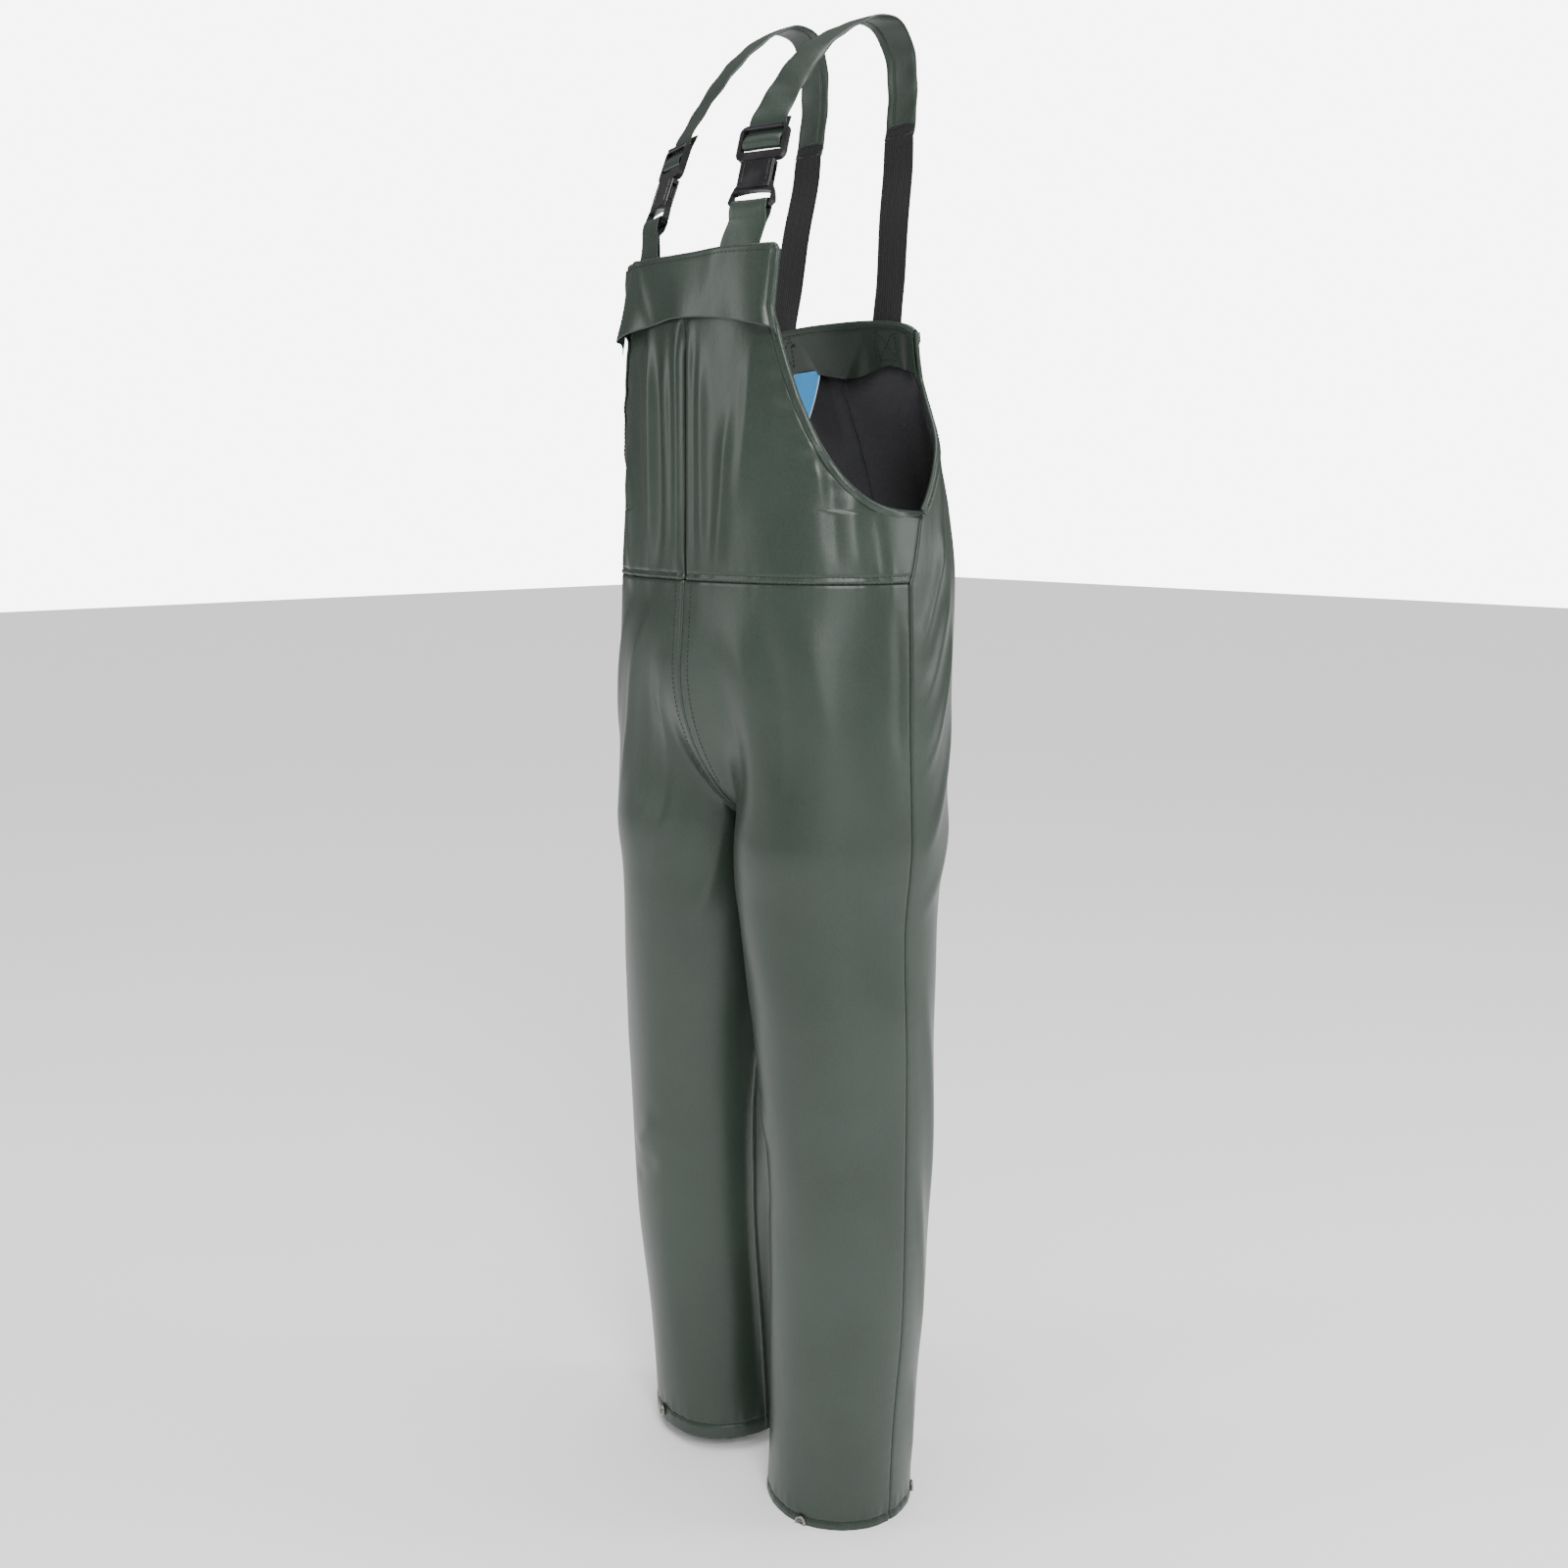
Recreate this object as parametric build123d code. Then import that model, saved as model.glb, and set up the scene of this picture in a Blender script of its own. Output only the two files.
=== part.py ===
from build123d import *
import os
from math import cos, radians, sin, sqrt

# A bib-and-brace rain overall, worn shape. +Z up, the wearer's front is -Y and their left is +X.
# The origin is midway between the two shoulder straps, on the undersides that lie on the shoulders.
os.makedirs("parts", exist_ok=True)

# Cloth walls
wall = 2.4
gap = 0.4
seam_gap = 0.001

# Heights
waist_z = -527
side_seam_bend_z = -495
armhole_z = -463
throat_z = -285
bib_top_z = -227
bib_mouth_z = -260
flap_bottom_z = -290
backing_bottom_z = -430
band_top_z = -288
band_bottom_z = -334
hip_z = -600
crotch_z = -770
side_blend_top_z = -560
side_blend_bottom_z = -870
hem_z = -1466
hem_depth = 18
hem_thickness = 1.8

# Body shape: each list holds (height, size), and a smooth curve runs between them.
trunk_y = -80
trunk_power = 2.4
trunk_half_width = ((-770, 187), (-650, 183), (-527, 180), (-463, 174), (-350, 168), (-227, 165))
trunk_front_depth = ((-770, 121), (-640, 128), (-527, 121), (-227, 118))
trunk_back_depth = ((-770, 120), (-640, 137), (-527, 138), (-463, 132), (-400, 112), (-334, 84), (-280, 72))
leg_apart = ((-1466, 94), (-1358, 100), (-1200, 112), (-1108, 113), (-945, 102), (-830, 92.5), (-770, 94))
leg_half_width = ((-1466, 74), (-1358, 75), (-1200, 78), (-1108, 79), (-945, 88), (-830, 91.5), (-770, 93.4))
leg_half_depth = ((-1466, 73), (-1358, 75), (-1200, 78), (-1108, 80), (-945, 91), (-830, 105), (-770, 117))
leg_y = ((-1466, 0), (-1200, -5), (-945, -7), (-770, -3))

# Armhole: how far round the body the front and back edges stand, in degrees from the middle
side_seam_top = 96
bib_edge_angle = 35
bib_corner_angle = 38
back_edge_angle = 54

# Braces, buckles and webbing
web_width = 40
web_thickness = 2.4
buckle_yaw = 16
buckle_tilt = 20
buckle_centre = Vector(66.5, -165, -167)
socket_length = 43
socket_width = 36
socket_thickness = 9
mouth_height = 11
cavity_width = 29
cavity_thickness = 5.4
plug_frame_width = 51
plug_frame_height = 33
plug_thickness = 6
bar_thickness = 4
tongue_width = 9
tongue_thickness = 3.4
prong_width = 4.6
prong_gap = 3.2
fit = 0.9
rail_inner = 11.5
rail_outer = 14.5
rail_height = 0.9
rail_round = 0.8
slot_half = 20.6
side_window_low = -8
side_window_height = 15
side_window_half = 2.1
window_half = 21.2
window_above_edge = 8
middle_bar_above_edge = 14
middle_bar_half = 22
middle_bar_thickness = 3.6
top_bar_half = 19
top_bar_rise = 1.5
frame_corner = 7
clear = 30
tail_length = 44
shoulder_thickness = 3.0
elastic_thickness = 1.8

# Press studs on the leg ends
stud_radius = 6.5
stud_height = 3
stud_recess = 2.4
stud_angles = (105, 228)


def along(z, stops):
    """Size at height z, eased between the two nearest stops."""
    stops = sorted(stops)
    if z <= stops[0][0]:
        return stops[0][1]
    for (low, first), (high, second) in zip(stops, stops[1:]):
        if z <= high:
            share = (z - low) / (high - low)
            share = share * share * (3 - 2 * share)
            return first + (second - first) * share
    return stops[-1][1]


def signed_power(value, power):
    return (abs(value) ** power) * (1 if value >= 0 else -1)


def trunk_point(turn, z):
    """Trunk outline at height z: turn 0 is the middle front, 1 the side, 2 the middle back."""
    angle = radians(90 * turn)
    depth = along(z, trunk_front_depth if turn < 1 else trunk_back_depth)
    x = along(z, trunk_half_width) * signed_power(sin(angle), 2 / trunk_power)
    y = -depth * signed_power(cos(angle), 2 / trunk_power)
    return x, y


def leg_point(turn, z):
    """Leg outline at height z: turn 0 and 2 are the inseam, 1 is the outseam."""
    angle = radians(180 * turn)
    x = along(z, leg_apart) - along(z, leg_half_width) * cos(angle)
    y = along(z, leg_y) - along(z, leg_half_depth) * sin(angle)
    return x, y


def share_down(z, top, bottom):
    return min(1, max(0, (top - z) / (top - bottom)))


def leg_share(turn, z):
    """How much the outline has turned from trunk to leg: quickest at the middles, slow at the sides."""
    middle = 1 - sqrt(1 - share_down(z, hip_z, crotch_z) ** 2)
    side = share_down(z, side_blend_top_z, side_blend_bottom_z)
    side = side * side * (3 - 2 * side)
    near_middle = abs(turn - 1) ** 3
    return side + (middle - side) * near_middle


def cloth_point(turn, z, inward=0):
    """Point of the left half of the garment, moved inward from the outer face."""
    def outline(t):
        share = leg_share(t, z)
        trunk = trunk_point(min(2, max(0, t)), z)
        leg = leg_point(t, z)
        return [(1 - share) * a + share * b for a, b in zip(trunk, leg)]
    x, y = outline(turn)
    before = outline(turn - 0.01 if turn > 0.01 else turn)
    after = outline(turn + 0.01 if turn < 1.99 else turn)
    run = Vector(after[0] - before[0], after[1] - before[1], 0).normalized()
    return Vector(max(0, x), y + trunk_y, z) + Vector(-run.Y, run.X, 0) * inward


def side_turn(z):
    """Side seam: straight down the side, moving back a little towards the armhole."""
    share = min(1, max(0, (z - waist_z) / (armhole_z - waist_z)))
    return 1 + share * (side_seam_top / 90 - 1)


def bib_turn(z):
    """Front edge of the armhole, sweeping in from the side seam to the bib."""
    if z <= armhole_z:
        return side_turn(z)
    if z >= throat_z:
        share = (z - throat_z) / (bib_top_z - throat_z)
        return (bib_edge_angle + share * (bib_corner_angle - bib_edge_angle)) / 90
    share = (z - armhole_z) / (throat_z - armhole_z)
    return (bib_edge_angle + (side_seam_top - bib_edge_angle) * (1 - share ** 0.4) ** 1.15) / 90


def back_turn(z):
    """Back edge of the armhole, rising to the band across the back."""
    if z <= armhole_z:
        return side_turn(z)
    share = min(1, (z - armhole_z) / (band_bottom_z - armhole_z))
    return 2 - (back_edge_angle + (180 - side_seam_top - back_edge_angle) * (1 - share) ** 1.2) / 90


def across_middle(points):
    """The left half's points from edge to middle, then their mirror images back out."""
    points = sorted(points, key=lambda p: -p.X)
    return points + [Vector(-p.X, p.Y, p.Z) for p in reversed(points) if p.X > 1]


def layer_face(z, start, finish, outside, inside, mirrored=False, count=15):
    """Flat C-shaped slice of one cloth layer between two turns round the body."""
    turns = [start + (finish - start) * i / (count - 1) for i in range(count)]
    outer = [cloth_point(t, z, outside) for t in turns]
    inner = [cloth_point(t, z, inside) for t in turns]
    if mirrored:
        # The slice runs on across the middle onto the right half.
        outer = across_middle(outer)
        inner = across_middle(inner)
    edges = [Spline(*outer), Line(outer[-1], inner[-1]), Spline(*inner[::-1]), Line(inner[0], outer[0])]
    return make_face(Wire(edges))


def layer(heights, start, finish, outside, inside, mirrored=False, count=15):
    """Cloth layer lofted through its slices; edges and offsets are functions of height."""
    faces = []
    for z in heights:
        faces.append(layer_face(z, start(z), finish(z), outside(z), inside(z), mirrored, count))
    return loft(faces, ruled=True)


def ribbon(stations, thickness):
    """Flat strip through stations, each a centre, a half-width vector and a face direction."""
    faces = []
    for centre, half, normal in stations:
        lift = normal.normalized() * (thickness / 2)
        corners = [centre - half - lift, centre + half - lift, centre + half + lift, centre - half + lift]
        faces.append(make_face(Wire([Line(a, b) for a, b in zip(corners, corners[1:] + corners[:1])])))
    lengths = [loft([first, second], ruled=True) for first, second in zip(faces, faces[1:])]
    strip = lengths[0]
    for length in lengths[1:]:
        strip += length
    return strip


def mirrored_pair(name, solid):
    """The wearer's left piece and its mirror image."""
    pieces["left_" + name] = solid
    pieces["right_" + name] = mirror(solid, about=Plane.YZ)


def constant(value):
    return lambda z: value


def below_seam(turn_at):
    return lambda z: turn_at(z) - seam_gap


def past_seam(turn_at):
    return lambda z: turn_at(z) + seam_gap


pieces = {}

# Trouser fronts, from the waist seam down, and backs, from the leg ends up to the back band
leg_heights = [hem_z, hem_z + hem_depth, -1400, -1300, -1200, -1100, -1000, -930]
leg_heights += [side_blend_bottom_z, -830, -795, crotch_z, -765, -752, -732, -700, -650, hip_z]
front_heights = leg_heights + [side_blend_top_z, waist_z]
back_low = front_heights + [side_seam_bend_z, armhole_z]
back_high = [armhole_z, -453, -439, -420, -395, -365, band_bottom_z, -305, band_top_z]
leg_front = layer(front_heights, constant(seam_gap), below_seam(side_turn), constant(0), constant(wall))
mirrored_pair("leg_front", leg_front)
trouser_back = layer(back_low, past_seam(side_turn), constant(2 - seam_gap), constant(0), constant(wall))
upper_back = layer(back_high, past_seam(back_turn), constant(2 - seam_gap), constant(0), constant(wall))
mirrored_pair("back_panel", trouser_back + upper_back)

# Bib: two outer panels that meet at the middle pleat, a backing layer behind, and a flap across the top
bib_heights = [waist_z + gap, side_seam_bend_z, armhole_z, -461, -456, -448, -434, -412, -384, -350, -315]
bib_heights += [throat_z, bib_mouth_z]
bib_panel = layer(bib_heights, constant(seam_gap), below_seam(bib_turn), constant(0), constant(wall))
mirrored_pair("bib_panel", bib_panel)
backing_in = wall + 3.2
backing_heights = [backing_bottom_z, -400, -350, -310, throat_z, bib_mouth_z, bib_top_z]
pieces["bib_backing"] = layer(backing_heights, constant(0), lambda z: bib_turn(z) - 0.04, constant(backing_in),
                              constant(backing_in + 1.6), mirrored=True)


def flap_lift(z):
    """The flap's lower edge stands off the bib."""
    share = (bib_top_z - z) / (bib_top_z - flap_bottom_z)
    return -0.6 - 4.5 * share * share


flap_heights = [flap_bottom_z, -275, -258, -242, bib_top_z]
pieces["bib_flap"] = layer(flap_heights, constant(0), bib_turn, lambda z: flap_lift(z) - 1.6, flap_lift,
                           mirrored=True)

# Facing band inside the top of the back, and the blank care label that hangs under it
band_in = wall + gap
band_heights = [band_bottom_z, -305, band_top_z - 1]
pieces["back_band"] = layer(band_heights, lambda z: back_turn(z) + 0.02, constant(2), constant(band_in),
                            constant(band_in + 1.8), mirrored=True)
label_half = 19
label_length = 52
label_x = -40
label_top = cloth_point(1.72, band_bottom_z, band_in + 3.2)
label_stations = []
for i in range(5):
    drop = label_length * i / 4
    centre = Vector(label_x, label_top.Y - 4 + 0.10 * drop, band_bottom_z + 6 - drop)
    label_stations.append((centre, Vector(label_half, 2, 0), Vector(0, 1, 0)))
pieces["care_label"] = ribbon(label_stations, 0.8)

# Folded hem strips: inside the leg ends and along the armhole edges
hem_in = wall + gap
hem_faces = []
for z in (hem_z, hem_z + hem_depth):
    rings = []
    for inward in (hem_in, hem_in + hem_thickness):
        points = [cloth_point(2 * i / 32, z, inward) for i in range(32)]
        rings.append(make_face(Wire(Spline(*points, periodic=True))))
    hem_faces.append(rings)
hem_outer = loft([rings[0] for rings in hem_faces])
hem_inner = loft([rings[1] for rings in hem_faces])
mirrored_pair("leg_hem", hem_outer - hem_inner)


def edge_tape(turn_at, heights, away):
    """Narrow strip inside the cloth along an armhole edge; away is +1 or -1 round the body."""
    tape_half = 3.5
    tape_in = wall + gap + 1.4
    stations = []
    for z in heights:
        edge = cloth_point(turn_at(z) + away * 0.05, z, tape_in)
        above = cloth_point(turn_at(z + 3) + away * 0.05, z + 3, tape_in)
        below = cloth_point(turn_at(z - 3) + away * 0.05, z - 3, tape_in)
        outer = cloth_point(turn_at(z) + away * 0.05, z, 0)
        normal = (outer - edge).normalized()
        run = (above - below).normalized()
        stations.append((edge, run.cross(normal).normalized() * tape_half, normal))
    return ribbon(stations, 1.6)


front_tape_heights = [-441, -426, -406, -382, -354, -326, -300, -268]
back_tape_heights = [-451, -438, -420, -396, -370, -342]
mirrored_pair("front_armhole_tape", edge_tape(bib_turn, front_tape_heights, -1))
mirrored_pair("back_armhole_tape", edge_tape(back_turn, back_tape_heights, 1))

# Buckle frame of reference: x across the webbing, y up along the brace, z out from the chest
across = Vector(cos(radians(buckle_yaw)), sin(radians(buckle_yaw)), 0)
up_brace = Vector(-sin(radians(buckle_tilt)) * across.Y, sin(radians(buckle_tilt)) * across.X,
                  cos(radians(buckle_tilt)))
buckle_plane = Plane(origin=buckle_centre, x_dir=across, z_dir=across.cross(up_brace))


def placed(solid):
    return buckle_plane.location * solid


def block(x0, x1, y0, y1, z0, z1):
    return Pos((x0 + x1) / 2, (y0 + y1) / 2, (z0 + z1) / 2) * Box(x1 - x0, y1 - y0, z1 - z0)


# Buckle socket: a flat case, open at the top for the plug, with shoulders and a slot for the bib loop
case_bottom = mouth_height - 26
socket_bottom = mouth_height - socket_length
case = block(-socket_width / 2, socket_width / 2, case_bottom, mouth_height,
             -socket_thickness / 2, socket_thickness / 2)
case = fillet(case.edges().filter_by(Axis.Y), 2.2)
shoulders = make_face(Wire([
    Line((-socket_width / 2, case_bottom + 4), (socket_width / 2, case_bottom + 4)),
    Spline((socket_width / 2, case_bottom + 4), (22, case_bottom - 4), (24, socket_bottom + 4)),
    Line((24, socket_bottom + 4), (20, socket_bottom)),
    Line((20, socket_bottom), (-20, socket_bottom)),
    Line((-20, socket_bottom), (-24, socket_bottom + 4)),
    Spline((-24, socket_bottom + 4), (-22, case_bottom - 4), (-socket_width / 2, case_bottom + 4)),
]))
shoulders = Pos(0, 0, -plug_thickness / 2) * extrude(shoulders, plug_thickness)
loop_slot_top = case_bottom - 3
loop_slot_bottom = socket_bottom + bar_thickness
slot_lip_end = loop_slot_top - 1.5
slot_lip_middle = loop_slot_top + 0.8
loop_slot = make_face(Wire([
    ThreePointArc((-slot_half, slot_lip_end), (0, slot_lip_middle), (slot_half, slot_lip_end)),
    Line((slot_half, slot_lip_end), (slot_half, loop_slot_bottom)),
    Line((slot_half, loop_slot_bottom), (-slot_half, loop_slot_bottom)),
    Line((-slot_half, loop_slot_bottom), (-slot_half, slot_lip_end)),
]))
loop_slot = Pos(0, 0, -socket_thickness) * extrude(loop_slot, 2 * socket_thickness)
cavity = block(-cavity_width / 2, cavity_width / 2, case_bottom + 2, mouth_height + 1,
               -cavity_thickness / 2, cavity_thickness / 2)
side_windows = block(-clear, clear, side_window_low, side_window_low + side_window_height,
                     -side_window_half, side_window_half)
for side in (-1, 1):
    rail = block(*sorted((side * rail_inner, side * rail_outer)), case_bottom + 5, mouth_height - 1.5,
                 socket_thickness / 2 - 0.5, socket_thickness / 2 + rail_height)
    case += fillet(rail.edges().filter_by(Axis.Y).group_by(Axis.Z)[-1], rail_round)
socket = case + shoulders - loop_slot - cavity - side_windows
mirrored_pair("buckle_socket", placed(socket))

# Buckle plug: a window frame for the strap, a middle bar it wraps, and a flat tongue
frame_bottom = mouth_height + 1.5
frame_top = frame_bottom + plug_frame_height
frame = block(-plug_frame_width / 2, plug_frame_width / 2, frame_bottom, frame_top,
              -plug_thickness / 2, plug_thickness / 2)
frame = fillet(frame.edges().filter_by(Axis.Z), frame_corner)
window = block(-window_half, window_half, frame_bottom + window_above_edge, frame_top - bar_thickness,
               -clear, clear)
middle_bar_low = frame_bottom + middle_bar_above_edge
middle_bar_high = middle_bar_low + bar_thickness
# The strap runs under the raised top bar and round the middle bar.
top_bar_low = frame_top - bar_thickness
under_top_bar = block(-window_half, window_half, top_bar_low - 1, frame_top + 1, -clear, 0)
top_bar = block(-top_bar_half, top_bar_half, top_bar_low, frame_top, 0, plug_thickness / 2 + top_bar_rise)
top_bar = fillet(top_bar.edges().filter_by(Axis.X).group_by(Axis.Z)[-1], 1.2)
middle_bar = block(-middle_bar_half, middle_bar_half, middle_bar_low, middle_bar_high,
                   -middle_bar_thickness / 2, middle_bar_thickness / 2)
tongue_tip = case_bottom + 6
tongue = block(-tongue_width / 2, tongue_width / 2, tongue_tip, frame_bottom + 2,
               -tongue_thickness / 2, tongue_thickness / 2)
mirrored_pair("buckle_plug", placed(frame - window - under_top_bar + top_bar + middle_bar + tongue))

# Two springy prongs beside the tongue, each pivoting where it leaves the plug frame
prong_inner = tongue_width / 2 + prong_gap
prong = block(prong_inner, prong_inner + prong_width, tongue_tip - 1.5, frame_bottom - 0.7,
              -tongue_thickness / 2, tongue_thickness / 2)
prong += block(prong_inner, cavity_width / 2 - fit, -6, 4, -tongue_thickness / 2, tongue_thickness / 2)
mirrored_pair("buckle_outer_prong", placed(prong))
mirrored_pair("buckle_inner_prong", placed(mirror(prong, about=Plane.YZ)))

# Bib loop: webbing folded round the bottom bar of the socket and sewn behind the bib's top edge
bar_y = socket_bottom + bar_thickness / 2
loop_bend_y = socket_bottom - 12
leg_space = plug_thickness / 2 + 1.2
fold_out = Pos(0, bar_y, 0) * Cylinder(leg_space + web_thickness, web_width, rotation=(0, 90, 0))
fold_in = Pos(0, bar_y, 0) * Cylinder(leg_space, web_width + 2, rotation=(0, 90, 0))
fold_half = block(-clear, clear, bar_y, bar_y + clear, -clear, clear)
fold = (fold_out - fold_in) & fold_half
loop_legs = []
for side in (-1, 1):
    near = side * leg_space
    far = side * (leg_space + web_thickness)
    profile = [(bar_y, near), (bar_y, far), (loop_bend_y, side * web_thickness), (loop_bend_y, -side * 0.4)]
    corners = [Vector(-web_width / 2, y, z) for y, z in profile]
    sheet = make_face(Wire([Line(a, b) for a, b in zip(corners, corners[1:] + corners[:1])]))
    loop_legs.append(extrude(sheet, web_width, dir=(1, 0, 0)))
tail = block(-web_width / 2, web_width / 2, -tail_length, 2, -web_thickness, web_thickness)
tail = Pos(0, loop_bend_y, 0) * Rot(buckle_tilt, 0, 0) * tail
mirrored_pair("bib_loop", placed(fold + loop_legs[0] + loop_legs[1] + tail))

# Braces: an elastic web up the back, and a cloth shoulder strap over the shoulder to the plug
elastic_foot = Vector(84, cloth_point(1.66, band_top_z, wall / 2).Y, band_top_z + 2.5)
elastic_top = Vector(64, 14, -96)
strap_stations = []
elastic_stations = []
for i in range(5):
    share = i / 4
    centre = elastic_foot + (elastic_top - elastic_foot) * share + Vector(0, 5, 0) * sin(radians(180 * share))
    half = Vector(cos(radians(-6 + 6 * share)), sin(radians(-6 + 6 * share)), 0) * (web_width / 2)
    elastic_stations.append((centre, half, Vector(0, 1, -0.15)))
mirrored_pair("elastic_web", ribbon(elastic_stations, elastic_thickness))

strap_path = [
    (Vector(64, 18, -110), Vector(0, 1, -0.12), 0),
    (Vector(62, 22, -70), Vector(0, 1, 0.10), 0),
    (Vector(60, 20, -30), Vector(0, 1, 0.55), 0),
    (Vector(58.5, 8, -5), Vector(0, 0.7, 1), 2),
    (Vector(58, -10, 1.7), Vector(0, 0.05, 1), 3),
    (Vector(58, -38, -6), Vector(0.03, -0.45, 1), 5),
    (Vector(58.5, -75, -32), Vector(0.08, -0.75, 1), 8),
    (Vector(59.5, -108, -66), Vector(0.12, -1.0, 0.85), 12),
]
for centre, normal, yaw in strap_path:
    half = Vector(cos(radians(yaw)), sin(radians(yaw)), 0) * (web_width / 2)
    normal = normal - half.normalized() * normal.dot(half.normalized())
    strap_stations.append((centre, half, normal))
buckle_out = buckle_plane.z_dir
strap_join_y = top_bar_low - 1.5
strap_end_y = frame_top + 7
strap_depth = -2.1
bar_mid = (middle_bar_low + middle_bar_high) / 2
end_centre = buckle_plane.from_local_coords(Vector(0, strap_end_y, strap_depth))
strap_stations.append((end_centre, across * (web_width / 2), buckle_out))
strap = ribbon(strap_stations, shoulder_thickness)

# The strap's end splits into two plies round the middle bar: a fold below it and a leg on each face.
bend_inside = 3.1
ply = 1.4
turn_out = Pos(0, bar_mid, 0) * Cylinder(bend_inside + ply, web_width, rotation=(0, 90, 0))
turn_in = Pos(0, bar_mid, 0) * Cylinder(bend_inside, web_width + 2, rotation=(0, 90, 0))
strap_end = (turn_out - turn_in) & block(-clear, clear, bar_mid - clear, bar_mid, -clear, clear)
for side in (-1, 1):
    profile = [(bar_mid, side * bend_inside), (bar_mid, side * (bend_inside + ply)),
               (strap_join_y, strap_depth + side * shoulder_thickness / 2),
               (strap_join_y, strap_depth - side * 0.3)]
    corners = [Vector(-web_width / 2, y, z) for y, z in profile]
    sheet = make_face(Wire([Line(a, b) for a, b in zip(corners, corners[1:] + corners[:1])]))
    strap_end += extrude(sheet, web_width, dir=(1, 0, 0))
strap_end += block(-web_width / 2, web_width / 2, strap_join_y, strap_end_y,
                   strap_depth - shoulder_thickness / 2, strap_depth + shoulder_thickness / 2)
mirrored_pair("shoulder_strap", strap + placed(strap_end))


# Press studs through the leg ends: a cap outside and a socket inside, two on each leg
def stud(angle):
    turn = angle / 180
    point = cloth_point(turn, hem_z + hem_depth / 2, 0)
    deeper = cloth_point(turn, hem_z + hem_depth / 2, 5)
    plane = Plane(origin=point, z_dir=point - deeper)
    cap = Pos(0, 0, gap + stud_height / 2) * Cylinder(stud_radius, stud_height)
    cap = fillet(cap.edges().group_by(Axis.Z)[-1], 1.2)
    cap -= Pos(0, 0, stud_height) * Cylinder(stud_recess, stud_recess)
    inner = Pos(0, 0, -hem_in - hem_thickness - gap - stud_recess / 2) * Cylinder(stud_radius, stud_recess)
    return plane.location * cap, plane.location * inner


studs = [solid for angle in stud_angles for solid in stud(angle)]
mirrored_pair("hem_studs", Compound(children=studs))

for name, solid in pieces.items():
    export_step(solid, os.path.join("parts", name + ".step"))
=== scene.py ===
import math
import bpy
import numpy as np
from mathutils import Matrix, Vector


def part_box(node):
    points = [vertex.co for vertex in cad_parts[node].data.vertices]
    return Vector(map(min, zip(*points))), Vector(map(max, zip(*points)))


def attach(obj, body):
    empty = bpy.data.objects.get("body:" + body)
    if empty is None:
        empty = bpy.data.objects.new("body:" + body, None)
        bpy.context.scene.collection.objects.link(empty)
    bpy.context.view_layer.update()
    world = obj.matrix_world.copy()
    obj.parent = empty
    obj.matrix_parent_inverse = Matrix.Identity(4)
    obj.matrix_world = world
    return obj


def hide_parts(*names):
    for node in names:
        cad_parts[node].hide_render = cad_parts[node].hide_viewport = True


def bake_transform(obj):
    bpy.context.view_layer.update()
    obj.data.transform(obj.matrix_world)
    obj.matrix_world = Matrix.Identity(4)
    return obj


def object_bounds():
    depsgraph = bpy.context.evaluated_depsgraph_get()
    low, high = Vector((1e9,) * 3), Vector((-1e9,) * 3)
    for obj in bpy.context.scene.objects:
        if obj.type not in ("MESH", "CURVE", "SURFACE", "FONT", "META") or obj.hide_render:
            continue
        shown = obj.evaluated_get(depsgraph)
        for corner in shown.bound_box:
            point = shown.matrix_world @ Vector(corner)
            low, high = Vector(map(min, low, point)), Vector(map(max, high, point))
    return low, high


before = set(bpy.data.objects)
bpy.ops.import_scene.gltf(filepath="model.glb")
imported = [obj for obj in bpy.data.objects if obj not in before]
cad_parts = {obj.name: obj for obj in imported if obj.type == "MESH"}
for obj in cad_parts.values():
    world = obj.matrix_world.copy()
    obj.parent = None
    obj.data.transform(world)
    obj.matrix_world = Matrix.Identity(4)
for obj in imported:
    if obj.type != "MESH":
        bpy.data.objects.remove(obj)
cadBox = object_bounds()
print("frame loaded")


class Wire:
    # a shader value that can be added, subtracted and multiplied like a number
    def __init__(self, tree, socket):
        self.tree = tree
        self.socket = socket

    def math(self, operation, other=None, swap=False):
        node = self.tree.nodes.new("ShaderNodeMath")
        node.operation = operation
        pair = [self] if other is None else [self, other]
        for slot, value in enumerate(reversed(pair) if swap else pair):
            plug(self.tree, value, node.inputs[slot])
        return Wire(self.tree, node.outputs[0])

    def __add__(self, other):
        return self.math("ADD", other)

    def __radd__(self, other):
        return self.math("ADD", other)

    def __sub__(self, other):
        return self.math("SUBTRACT", other)

    def __rsub__(self, other):
        return self.math("SUBTRACT", other, True)

    def __mul__(self, other):
        return self.math("MULTIPLY", other)

    def __rmul__(self, other):
        return self.math("MULTIPLY", other)


def plug(tree, value, socket):
    if isinstance(value, Wire):
        tree.links.new(value.socket, socket)
    elif isinstance(value, bpy.types.NodeSocket):
        tree.links.new(value, socket)
    else:
        socket.default_value = value


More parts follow.
